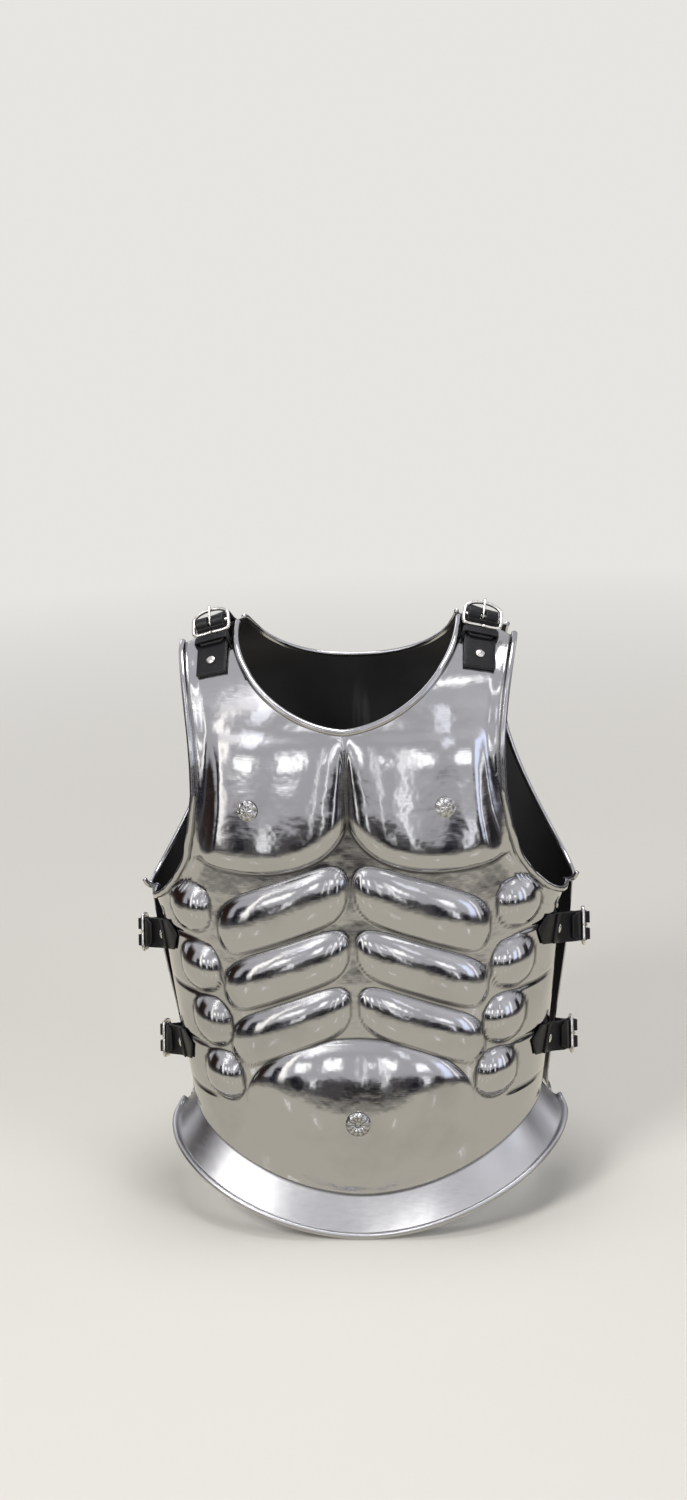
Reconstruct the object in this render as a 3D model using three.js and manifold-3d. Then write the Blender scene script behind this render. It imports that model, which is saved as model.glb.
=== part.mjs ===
// Muscle cuirass: embossed breastplate with a belly flange, backplate, leather straps and wire buckles.
// Millimetres, +Z up. The wearer faces -Y and the wearer's left side is +X.
// The origin lies on the shoulder line, midway between the shoulders, where a wearer or a bar carries it.

import * as THREE from 'three';
import * as BufferGeometryUtils from 'three/addons/utils/BufferGeometryUtils.js';
import Module from 'manifold-3d';

const wasm = await Module();
wasm.setup();

// Driving dimensions of the body form
const chestHalfWidth = 207; // breastplate's half width at the armpits
const hipHalfWidth = 183; // breastplate's half width where the flange starts
const sideEdgeY = 15; // plane of the breastplate's side edges
const chestDepth = 120; // from that plane forward to the chest
const bellyDepth = 136; // from that plane forward to the belly
const backDepth = 108; // from that plane back to the shoulder blades
const loinDepth = 84; // from that plane back to the small of the back
const armpitDrop = 254; // shoulder line down to the armpit corners
const hipDrop = 478; // shoulder line down to the hip corners
const bellyDrop = 550; // shoulder line down to the belly's lowest point
const hemDrop = 545; // the breastplate's own lower edge in the middle
const springDrop = 100; // where chest and back start to curve in towards the shoulders
const shoulderRise = 118; // height of that curve on the strap line
const strapLineX = 131; // half distance between the two shoulder straps
const shoulderSlopeShare = 0.28; // fall of the shoulders outwards
const sectionPower = 2.5; // squareness of the horizontal sections
const waistTaperPower = 1.25;

// Sheet, rolled edges and clearances
const sheet = 1.5;
const rollRadius = 3.2;
const backRollRadius = 2.4;
const rollTurns = [160, 100, 40, -20, -85]; // degrees round a roll's section
const neckColumnShare = 0.5;
const hookOut = 12; // how far the armhole roll runs on past the armpit corner
const hookUp = 11;
const touchGap = 0.3; // between pieces that touch
const cutOverrun = 4; // how far every cutting tool runs past the material
const mergeReach = 1e-4; // vertices closer than this are one
const slopeShare = 0.004; // step over which a surface's slope is taken
const frameSlopeShare = 0.01; // the same for what stands on it
const hookShare = 0.9; // thickness of the roll's end
const hookFrontShare = 0.3;
const octagonShare = 1.1; // the flats of a drilled octagon lie inside its corners

// Outlines of the breastplate
const neckDrop = 58; // shoulder line down to the lowest point of the neckline
const neckHalfWidth = 107;
const neckTopRise = 25; // where the neckline is widest, above the shoulder line
const neckPower = 1.55;
const neckJoinDrop = 14; // where the neckline turns from the chest into the tongues
const armholeX = 153; // half distance between the armholes at their narrowest
const armholeTurnDrop = 110; // level of that narrowest place
const armholePower = 2.6;
const tongueFlare = 15; // how far the tongue's outer edge runs out on its way up
const tongueFlareRise = 118;
const armholeSteps = 40;
const tongueEndY = 0; // the front tongues end above the shoulder line
const tongueCorner = 10; // how far the tongue's outer corner is taken down
const junctionPower = 1.8;

// Outlines of the backplate
const backNeckDrop = 38;
const backNeckHalfWidth = 105;
const backNeckTopRise = 30;
const backNeckPower = 2.2;
const backNeckJoinDrop = 4;
const backArmholeX = 150;
const backArmholeTurnDrop = 90;
const backArmholePower = 1.55;
const backTongueEndY = 34;
const backHemDrop = 494; // shoulder line down to the backplate's lower edge
const backEdgeStep = 6; // how far the backplate's side edges lie outside the breastplate's
const backArmpitStep = 12; // the same at the armpit
const backEdgeSetback = 4; // its side edges lie this much behind the breastplate's
const hemFlare = 10;
const hemFlareHeight = 46;

// Embossing
const pecHeight = 18;
const abHeight = 12;
const sideBumpHeight = 14;
const bellyHeight = 21;
const rimFlare = 3;
const rimWidth = 13;
const pecCentreX = 84;
const pecCentreDrop = 140;
const pecInner = 88;
const pecOuter = 109;
const pecBelow = 66;
const pecAbove = 104;
const pecPower = 2.2;
const pecEdgeShares = [0.62, 1.7]; // steepness of its lower and upper edge
const furrow = 4; // half width of the middle furrow
const absOuter = 135; // outer ends of the stomach blocks, at chest width
const absSlopeShare = 0.36;
const absCreaseShares = [0.673, 0.5655, 0.459, 0.339]; // middle drops of the four block creases
const creaseHalf = 2.2;
const absPower = 3.2;
const absEdgeShare = 0.6;
const sideBumpXShares = [0.797, 0.775, 0.748, 0.724];
const sideBumpDropShares = [0.451, 0.5636, 0.667, 0.771];
const sideBumpHalfWidth = 23;
const sideBumpHalfHeight = 27;
const sideBumpPower = 2.2;
const sideBumpEdgeShare = 0.75;
const sideCreaseShares = [0.82, 0.72, 0.6164, 0.5073, 0.402]; // drops between the side bumps
const sideCreaseDepth = 1.4;
const sideCreaseHalf = 5;
const bellyDomeUp = 87; // breastplate's lower edge up to the navel
const bellyDomeDrop = hemDrop - bellyDomeUp;
const bellyDomeRise = 82;
const bellyDomeFall = 90;
const bellyDomeHalf = 130;
const bellyEdgeShares = [0.62, 0.9]; // steepness above and below the navel
const spineHalf = 9;
const spineDepth = 6;
const bladeHeight = 9;
const bladeX = 78;
const bladeDrop = 165;
const bladeHalfWidth = 66;
const bladeHalfHeight = 88;
const bladeEdgeShare = 1.2;
const loinHeight = 6;
const loinX = 44;
const loinDrop = 370;
const loinHalfWidth = 36;
const loinHalfHeight = 108;

// Belly flange
const flangeWidth = 39; // up to its rolled edge
const flangeSweep = 9; // its ends reach this far back past the breastplate's side edges
const flangeSweepRun = 60;
const flangeSweepPower = 3.5;
const flangeOutShares = [0.45, 0.27]; // outward run, straight and curling
const flangeDownShares = [0.9, -0.22]; // downward run
const flangeGap = 0.8; // behind the breastplate
const flangeBend = 1; // clear below the breastplate's edge
const flangeTipShare = 0.32;
const flangeLip = 8; // how far it reaches up behind the breastplate
const flangeSheet = 1.5;
const flangeCorner = 30; // length of its rounded ends

// Leather
const strapWidth = 29;
const chapeWidth = 31;
const strapThickness = 2.6;
const chapeLayer = 2; // one of the chape's two layers
const rivetHole = 2.3;

// Wire buckle
const wireRadius = 1.9;
const barRadius = 1.7;
const buckleHalfWidth = 18.5; // to the middle of the wire
const frontReach = 11.5; // middle bar to front bar
const archReach = 17; // middle bar to the top of the arch
const buckleCorner = 4;
const cornerShares = [[0.25, 0.35], [0, 1.2]]; // points that round each front corner
const archSteps = 10;
const archFoot = 6; // where the arch springs from the straight sides
const wireSteps = 22;
const strapSlotFront = 6; // slot for the prong, from the bar towards the front bar
const strapSlotBack = 9.5;
const prongRadius = 1.4;
const prongSlotHalf = 2.6;
const jointGap = 0.5; // between wire ends that meet
const wireSides = 6;
const eyeSides = 8;
const eyeTurns = [330, 300, 270, 225, 180, 135, 90]; // degrees round the prong's eye
const prongStepShare = 1.25; // steps for each of its points
const pinSides = 8;

// Rivets and studs
const rivetShank = 2;
const rivetHead = 4.6;
const rivetHeadHeight = 1.9;
const rivetDomeShares = [0.7, 0.8]; // shoulder of the domed head
const burrRadius = 4.6;
const burrThickness = 1.2;
const burrGap = 1.6; // behind the plate, which is flatter between its vertices than the form itself
const nippleRadius = 10;
const nippleHeight = 4.8;
const nippleBase = 1.1;
const nippleRise = 4;
const studSeat = 1; // room under the studs for the curved plate
const studSides = 16;
const studRingShares = [[0.62, 0.6], [0.28, 0.8]];
const facetDipShares = [0.4, 0.8, 0.8]; // every other point of each ring lies lower
const navelRadius = 12.5;
const navelHeight = 4.2;
const navelHole = 3;
const navelRingShares = [[0.8, 0.75], [0.55, 1], [0.32, 0.8]];
const navelMouthShare = 0.4;

// Places of the straps
const shoulderRivetDrop = 3.3; // shoulder chape's rivet below the shoulder line
const shoulderFoot = 34; // from that rivet up to the buckle's front bar
const buckleTilt = 0.32; // radians, the buckle stands up from the shoulder
const chapeTail = 16; // chape below its rivet
const backRivetY = 62;
const strapHeel = 11; // strap past its rivet on the backplate
const sideDropShares = [0.6167, 0.8687]; // drops of the side chapes' rivets, as shares of the hip's
const sideRivetY = -25;
const sideFallShare = 0.33; // fall of the side straps towards the back
const sideBackY = 60;
const sideBulge = 30; // how far the side buckles stand off the plates
const sideTail = 33; // pentagon end in front of the side rivet
const sidePoint = 9; // length of that end's point
const sideStep = 8; // second layer ends this far in front of the rivet
const sideSplit = 0.47; // place of the side buckles' bars between their two rivets
const keeperWidth = 8;
const keeperWall = 1.8;
const keeperUnder = 1; // its thin run below the chape
const keeperSlack = 0.5;
const keeperFoot = 7.5; // from the foot of the front bar down to the keeper's middle
const tailFoot = 14; // from the same place down to the end of the strap
const backSeat = 0.9; // room under the side straps, which bridge the plate's hollow
const frontSeat = 0.4; // the same under the chapes
const twistRoom = 0.2; // more room between the chape and the end of the strap
const strapCorner = 4; // corners cut off the ends of the straps

// Materials
const steel = new THREE.MeshStandardMaterial({ color: 0xb9bcc0, roughness: 0.2, metalness: 1 });
const steelBack = new THREE.MeshStandardMaterial({ color: 0xb4b7bb, roughness: 0.25, metalness: 1 });
const bright = new THREE.MeshStandardMaterial({ color: 0xd4d3ce, roughness: 0.22, metalness: 1 });
const studSteel = new THREE.MeshStandardMaterial({ color: 0xa9abad, roughness: 0.28, metalness: 1 });
const leather = new THREE.MeshStandardMaterial({ color: 0x17181c, roughness: 0.62, metalness: 0 });

const group = new THREE.Group();

// Small helpers
const clamp01 = (t) => Math.min(1, Math.max(0, t));
const smooth = (t) => clamp01(t) ** 2 * (3 - 2 * clamp01(t));
const mix = (a, b, t) => a + (b - a) * t;
const quarter = Math.PI / 2;

// Body form: a point for an angle round the body (0 in front or behind, a quarter turn at the side)
// and an unrolled height, which runs on over the shoulder curve.
const shoulderRiseAt = (x) => shoulderRise - shoulderSlopeShare * (Math.abs(x) - strapLineX);

function heightToZ(x, height) {
  if (height <= -springDrop) return height;
  const rise = shoulderRiseAt(x);
  return -springDrop + rise * Math.sin(Math.min((height + springDrop) / rise, quarter));
}

function zToHeight(x, z) {
  if (z <= -springDrop) return z;
  const rise = shoulderRiseAt(x);
  return -springDrop + rise * Math.asin(Math.min((z + springDrop) / rise, 1));
}

function halfWidthAt(z, side) {
  const fall = clamp01((-armpitDrop - z) / (hipDrop - armpitDrop));
  const front = mix(chestHalfWidth, hipHalfWidth, fall ** waistTaperPower);
  if (side < 0) return front;
  const high = smooth((z + bellyDomeDrop) / (bellyDomeDrop - armpitDrop));
  return front + mix(backEdgeStep, backArmpitStep, high);
}

function depthAt(z, side) {
  const down = smooth((-springDrop - z) / (bellyDrop - springDrop));
  if (side < 0) return mix(chestDepth, bellyDepth, down);
  const hollow = smooth((-armpitDrop / 2 - z) / (hipDrop - armpitDrop));
  const hem = smooth((hemFlareHeight - backHemDrop - z) / hemFlareHeight);
  return mix(backDepth, loinDepth, hollow) + hemFlare * hem;
}

const edgeY = (side) => sideEdgeY + (side > 0 ? backEdgeSetback : 0);
const xShare = (angle) => Math.sign(angle) * Math.abs(Math.sin(angle)) ** (2 / sectionPower);
const depthShare = (angle) => Math.max(0, Math.cos(angle)) ** (2 / sectionPower);
const angleOf = (share) => Math.asin(clamp01(Math.abs(share)) ** (sectionPower / 2)) * Math.sign(share);

function bodyPoint(angle, height, side) {
  const z0 = Math.min(height, -springDrop);
  const x = xShare(angle) * halfWidthAt(z0, side);
  const z = heightToZ(x, height);
  const lift = height > -springDrop ? Math.cos((height + springDrop) / shoulderRiseAt(x)) : 1;
  const y = edgeY(side) + side * depthAt(z, side) * depthShare(angle) * Math.max(lift, 0);
  return new THREE.Vector3(x, y, z);
}

// A raised form with its crease on a superellipse; edge gives how steeply it starts
function pillow(a, b, power, edge) {
  const reach = (Math.abs(a) ** power + Math.abs(b) ** power) ** (1 / power);
  return reach >= 1 ? 0 : (1 - reach ** power) ** edge;
}

const absCrease = (row, x) => -absCreaseShares[row] * bellyDrop - absSlopeShare * x;

function chestRelief(x, z) {
  const fromNipple = x - pecCentreX;
  const up = z + pecCentreDrop;
  const a = fromNipple / (fromNipple < 0 ? pecInner : pecOuter);
  const b = up / (up < 0 ? pecBelow : pecAbove);
  const soft = smooth(up / pecAbove + 1 / 2);
  return pecHeight * pillow(a, b, pecPower, mix(...pecEdgeShares, soft));
}

function stomachRelief(x, z) {
  let best = 0;
  const middle = (absOuter + furrow) / 2;
  for (let row = 0; row < absCreaseShares.length - 1; row += 1) {
    const low = absCrease(row, x) + creaseHalf;
    const high = absCrease(row + 1, x) - creaseHalf;
    const b = (z - (low + high) / 2) / ((high - low) / 2);
    const a = (x - middle) / ((absOuter - furrow) / 2);
    best = Math.max(best, abHeight * pillow(a, b, absPower, absEdgeShare));
  }
  return best;
}

function sideRelief(x, z) {
  let best = 0;
  sideBumpXShares.forEach((share, index) => {
    const a = (x - share * chestHalfWidth) / sideBumpHalfWidth;
    const b = (z + sideBumpDropShares[index] * bellyDrop) / sideBumpHalfHeight;
    best = Math.max(best, sideBumpHeight * pillow(a, b, sideBumpPower, sideBumpEdgeShare));
  });
  return best;
}

function bellyRelief(x, z) {
  const up = z + bellyDomeDrop;
  const [reach, edge] = up > 0 ? [bellyDomeRise, bellyEdgeShares[0]] : [bellyDomeFall, bellyEdgeShares[1]];
  return bellyHeight * pillow(x / bellyDomeHalf, up / reach, 2, edge);
}

function sideCreases(x, z) {
  const fromSide = smooth((x - armholeX) / sideBumpHalfWidth) * smooth((chestHalfWidth - x) / rimWidth);
  const drops = sideCreaseShares.map((share) => share * bellyDrop);
  const lines = drops.map((drop) => smooth(1 - Math.abs(z + drop) / sideCreaseHalf));
  return -sideCreaseDepth * fromSide * Math.max(...lines);
}

function frontRelief(x, z) {
  const wide = Math.abs(x) * chestHalfWidth / halfWidthAt(z, -1);
  const forms = Math.max(...[chestRelief, stomachRelief, sideRelief, bellyRelief].map((form) => form(wide, z)));
  const creases = forms > 0 ? 0 : sideCreases(wide, z);
  return forms + creases + rimFlare * smooth(1 - armholeDistance(Math.abs(x), z) / rimWidth);
}

function backRelief(x, z) {
  const wide = Math.abs(x);
  const blade = pillow((wide - bladeX) / bladeHalfWidth, (z + bladeDrop) / bladeHalfHeight, 2, bladeEdgeShare);
  const loin = pillow((wide - loinX) / loinHalfWidth, (z + loinDrop) / loinHalfHeight, 2, 1);
  const spine = smooth(1 - wide / spineHalf) * smooth((-z - neckDrop) / neckDrop);
  const quiet = smooth((z + backHemDrop) / hemFlareHeight);
  return Math.max(bladeHeight * blade, loinHeight * loin) - spineDepth * spine * quiet;
}

const reliefOf = (side) => (side < 0 ? frontRelief : backRelief);

// The finished outer surface and its outward normal
function bodyNormal(angle, height, side) {
  const step = slopeShare;
  const reach = step * chestHalfWidth;
  const across = bodyPoint(angle + step, height, side).sub(bodyPoint(angle - step, height, side));
  const upward = bodyPoint(angle, height + reach, side).sub(bodyPoint(angle, height - reach, side));
  const normal = across.cross(upward).normalize();
  return side < 0 ? normal : normal.negate();
}

function surfacePoint(angle, height, side) {
  const base = bodyPoint(angle, height, side);
  const relief = reliefOf(side)(base.x, base.z);
  return base.addScaledVector(bodyNormal(angle, height, side), relief);
}

// Outlines. A roll runs along the neck and the armholes, so the sheet stops short of the outline by its reach.
const rollOf = (side) => (side < 0 ? rollRadius : backRollRadius);
const rollInset = (radius) => Math.sqrt(radius ** 2 - (radius - sheet) ** 2);
const rollReach = (side) => rollInset(rollOf(side)) + rollOf(side);
const armholeNarrow = (side) => (side < 0 ? armholeX : backArmholeX) - rollReach(side);
const armholeTurn = (side) => (side < 0 ? armholeTurnDrop : backArmholeTurnDrop);
const armpitZ = (side) => -armpitDrop - rollReach(side);

function armholeLowZ(x, side) {
  const narrow = armholeNarrow(side);
  const widest = halfWidthAt(-armpitDrop, side);
  const power = side < 0 ? armholePower : backArmholePower;
  const run = clamp01((x - narrow) / (widest - narrow));
  return mix(-armholeTurn(side), armpitZ(side), run ** (1 / power));
}

function armholeHighX(z, side) {
  const up = Math.max(0, z + armholeTurn(side)) / tongueFlareRise;
  return armholeNarrow(side) + tongueFlare * up ** 2;
}

// Front view of the breastplate's armhole edge, for the flared rim beside it
const armholeLine = [];
for (let step = 0; step <= armholeSteps; step += 1) {
  const x = mix(armholeNarrow(-1), chestHalfWidth, (step / armholeSteps) ** armholePower);
  armholeLine.push([x, armholeLowZ(x, -1)]);
  const z = mix(-armholeTurnDrop, 0, step / armholeSteps);
  armholeLine.push([armholeHighX(z, -1), z]);
}

function armholeDistance(x, z) {
  return Math.min(...armholeLine.map(([edgeX, edgeZ]) => Math.hypot(x - edgeX, z - edgeZ)));
}

const necks = {
  '-1': { half: neckHalfWidth, top: neckTopRise, drop: neckDrop, power: neckPower, join: neckJoinDrop },
  1: {
    half: backNeckHalfWidth,
    top: backNeckTopRise,
    drop: backNeckDrop,
    power: backNeckPower,
    join: backNeckJoinDrop,
  },
};

function neckX(z, side) {
  const neck = necks[side];
  const down = clamp01((neck.top - z) / (neck.top + neck.drop + rollReach(side)));
  return (neck.half + rollReach(side)) * (1 - down ** neck.power) ** (1 / neck.power);
}

function neckZ(x, side) {
  const neck = necks[side];
  const across = clamp01(x / (neck.half + rollReach(side)));
  return neck.top - (neck.top + neck.drop + rollReach(side)) * (1 - across ** neck.power) ** (1 / neck.power);
}

// Meshes and solids
function toGeometry(points, faces) {
  const geometry = new THREE.BufferGeometry();
  const flat = points.flatMap((point) => [point.x, point.y, point.z]);
  geometry.setAttribute('position', new THREE.Float32BufferAttribute(flat, 3));
  geometry.setIndex(faces.flat());
  return geometry;
}

function toSolid(source) {
  const geometry = source.clone();
  geometry.deleteAttribute('normal');
  geometry.deleteAttribute('uv');
  const merged = BufferGeometryUtils.mergeVertices(geometry, mergeReach);
  const mesh = new wasm.Mesh({
    numProp: 3,
    vertProperties: new Float32Array(merged.getAttribute('position').array),
    triVerts: new Uint32Array(merged.getIndex().array),
  });
  return new wasm.Manifold(mesh);
}

function fromSolid(solid) {
  const mesh = solid.getMesh();
  const geometry = new THREE.BufferGeometry();
  geometry.setAttribute('position', new THREE.Float32BufferAttribute(mesh.vertProperties, 3));
  geometry.setIndex(new THREE.Uint32BufferAttribute(mesh.triVerts, 1));
  return geometry;
}

function addPiece(name, solid, material) {
  const geometry = fromSolid(solid);
  geometry.computeVertexNormals();
  const mesh = new THREE.Mesh(geometry, material);
  mesh.name = name;
  group.add(mesh);
}

// Normals of a vertex from the faces round it, weighted by their areas
function vertexNormals(points, faces) {
  const normals = points.map(() => new THREE.Vector3());
  faces.forEach(([a, b, c]) => {
    const first = points[b].clone().sub(points[a]);
    const second = points[c].clone().sub(points[a]);
    const normal = first.cross(second);
    [a, b, c].forEach((index) => normals[index].add(normal));
  });
  return normals.map((normal) => normal.normalize());
}

// A sheet of faces becomes a closed wall: the same faces turned over at a depth, and a rim between.
// Along some lines the rim is a round roll, which leaves the outer face, turns over and ends on the inner face.
function thicken(points, faces, thickness, rolls) {
  const normals = vertexNormals(points, faces);
  const inner = points.map((point, index) => point.clone().addScaledVector(normals[index], -thickness));
  const shift = points.length;
  const all = [...points, ...inner];
  const edges = new Map();
  faces.flatMap(([a, b, c]) => [[a, b], [b, c], [c, a]]).forEach((edge) => edges.set(edge.join(' '), edge));
  const rim = [...edges.values()].filter(([from, to]) => !edges.has(`${to} ${from}`));
  const walls = [];
  const rolled = new Set();
  const join = (first, second) => {
    for (let index = 0; index < first.length - 1; index += 1) {
      walls.push([second[index], first[index], first[index + 1]]);
      walls.push([second[index], first[index + 1], second[index + 1]]);
    }
  };
  rolls.forEach(({ line: given, radius }) => {
    const line = edges.has(`${given[0]} ${given[1]}`) ? given : [...given].reverse();
    const inset = rollInset(radius);
    const rings = line.map((index, place) => {
      const before = points[line[Math.max(place - 1, 0)]];
      const after = points[line[Math.min(place + 1, line.length - 1)]];
      const out = after.clone().sub(before).cross(normals[index]).normalize();
      const ring = rollTurns.map((degrees) => {
        const turn = THREE.MathUtils.degToRad(degrees);
        const point = points[index].clone().addScaledVector(out, inset + radius * Math.cos(turn));
        point.addScaledVector(normals[index], radius - sheet + radius * Math.sin(turn));
        return all.push(point) - 1;
      });
      return [index, ...ring, index + shift];
    });
    for (let place = 0; place < line.length - 1; place += 1) {
      join(rings[place], rings[place + 1]);
      rolled.add(`${line[place]} ${line[place + 1]}`);
    }
    const first = rings[0];
    const last = rings[rings.length - 1];
    for (let index = 1; index < first.length - 1; index += 1) {
      walls.push([first[0], first[index + 1], first[index]], [last[0], last[index], last[index + 1]]);
    }
  });
  const plain = rim.filter((edge) => !rolled.has(edge.join(' ')));
  plain.forEach(([from, to]) => join([from, from + shift], [to, to + shift]));
  const under = faces.map(([a, b, c]) => [c + shift, b + shift, a + shift]);
  return { geometry: toGeometry(all, [...faces, ...under, ...walls]), normals };
}

// Plates. Columns stand at shares of the half width, in three runs: to the neck's join, on to the armhole and
// on to the side edge. Rows follow guide lines up to the armholes, then the neckline, then the tongues' ends.
function makeColumns(neckShare, armShare, runs) {
  const shares = [
    ...runs[0].map((share) => share * neckShare),
    neckShare,
    ...runs[1].map((share) => mix(neckShare, armShare, share)),
    armShare,
    ...runs[2].map((share) => mix(armShare, 1, share)),
  ];
  return { shares, neck: runs[0].length, arm: runs[0].length + runs[1].length + 1, neckShare, armShare };
}

const frontColumns = makeColumns(neckColumnShare, (armholeNarrow(-1) + touchGap) / chestHalfWidth, [
  [0, 0.05, 0.3, 0.55, 0.8],
  [0.33, 0.57, 0.7, 0.86],
  [0.06, 0.17, 0.32, 0.5, 0.67, 0.82, 0.93, 0.985, 1],
]);
const backColumns = makeColumns(neckColumnShare, (armholeNarrow(1) + touchGap) / halfWidthAt(-armpitDrop, 1), [
  [0, 0.08, 0.5],
  [0.5],
  [0.25, 0.5, 0.75, 0.93, 1],
]);
const outward = (x) => (x - armholeX) / (chestHalfWidth - armholeX);
const domeEndShare = 0.96; // the rows leave the dome's line a little before its end
const underArmholeShare = 0.6; // the rows under the armhole close up towards the side

// Guide lines of the breastplate: heights over x at chest width, from the flange up to the armholes
function bumpSide(x, stomach, drop) {
  const step = smooth((x - absOuter) / (armholeX - absOuter) + 1 / 2);
  return mix(stomach, -drop * bellyDrop, step);
}

function junctionZ(x) {
  return mix(-hemDrop, -hipDrop, clamp01(x / chestHalfWidth) ** junctionPower);
}

function domeTopZ(x) {
  const along = Math.min(x / bellyDomeHalf, domeEndShare);
  return -bellyDomeDrop + bellyDomeRise * Math.sqrt(1 - along ** 2);
}

function pecLowZ(x) {
  const along = Math.abs(x - pecCentreX) / (x < pecCentreX ? pecInner : pecOuter);
  return -pecCentreDrop - pecBelow * (1 - clamp01(along) ** pecPower) ** (1 / pecPower);
}

// The row that ends along the lower part of the armhole
function armholeRowZ(x, side, middleDrop) {
  const narrow = armholeNarrow(side);
  return x > narrow ? armholeLowZ(x, side) : mix(-middleDrop, -armholeTurn(side), (x / narrow) ** 2);
}

const closeUp = (x) => 1 - underArmholeShare * outward(x);
const underArmhole = (x, share) => armholeLowZ(x, -1) - share * rimWidth * closeUp(x);
const chestRows = 5;
const tongueRows = 4;
const frontGuides = [
  { line: junctionZ, rows: 0 },
  { line: (x) => bumpSide(x, domeTopZ(x), sideCreaseShares[0]), rows: 5 },
  { line: (x) => bumpSide(x, (absCrease(0, x) + absCrease(1, x)) / 2, sideCreaseShares[1]), rows: 3 },
  { line: (x) => bumpSide(x, absCrease(1, x), sideCreaseShares[2]), rows: 3 },
  { line: (x) => bumpSide(x, absCrease(2, x), sideCreaseShares[3]), rows: 4 },
  { line: (x) => Math.min(bumpSide(x, absCrease(3, x), sideCreaseShares[4]), underArmhole(x, 2)), rows: 4 },
  { line: (x) => Math.min(pecLowZ(x), underArmhole(x, 1)), rows: 1 },
  { line: (x) => armholeRowZ(x, -1, pecCentreDrop), rows: 4 },
];
const backGuides = [
  { line: () => -backHemDrop, rows: 0 },
  { line: () => -backHemDrop + hemFlareHeight, rows: 2 },
  { line: (x) => mix(-loinDrop, -armpitDrop - rimWidth, smooth(outward(x))), rows: 3 },
  { line: (x) => armholeRowZ(x, 1, bladeDrop), rows: 6 },
];

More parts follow.
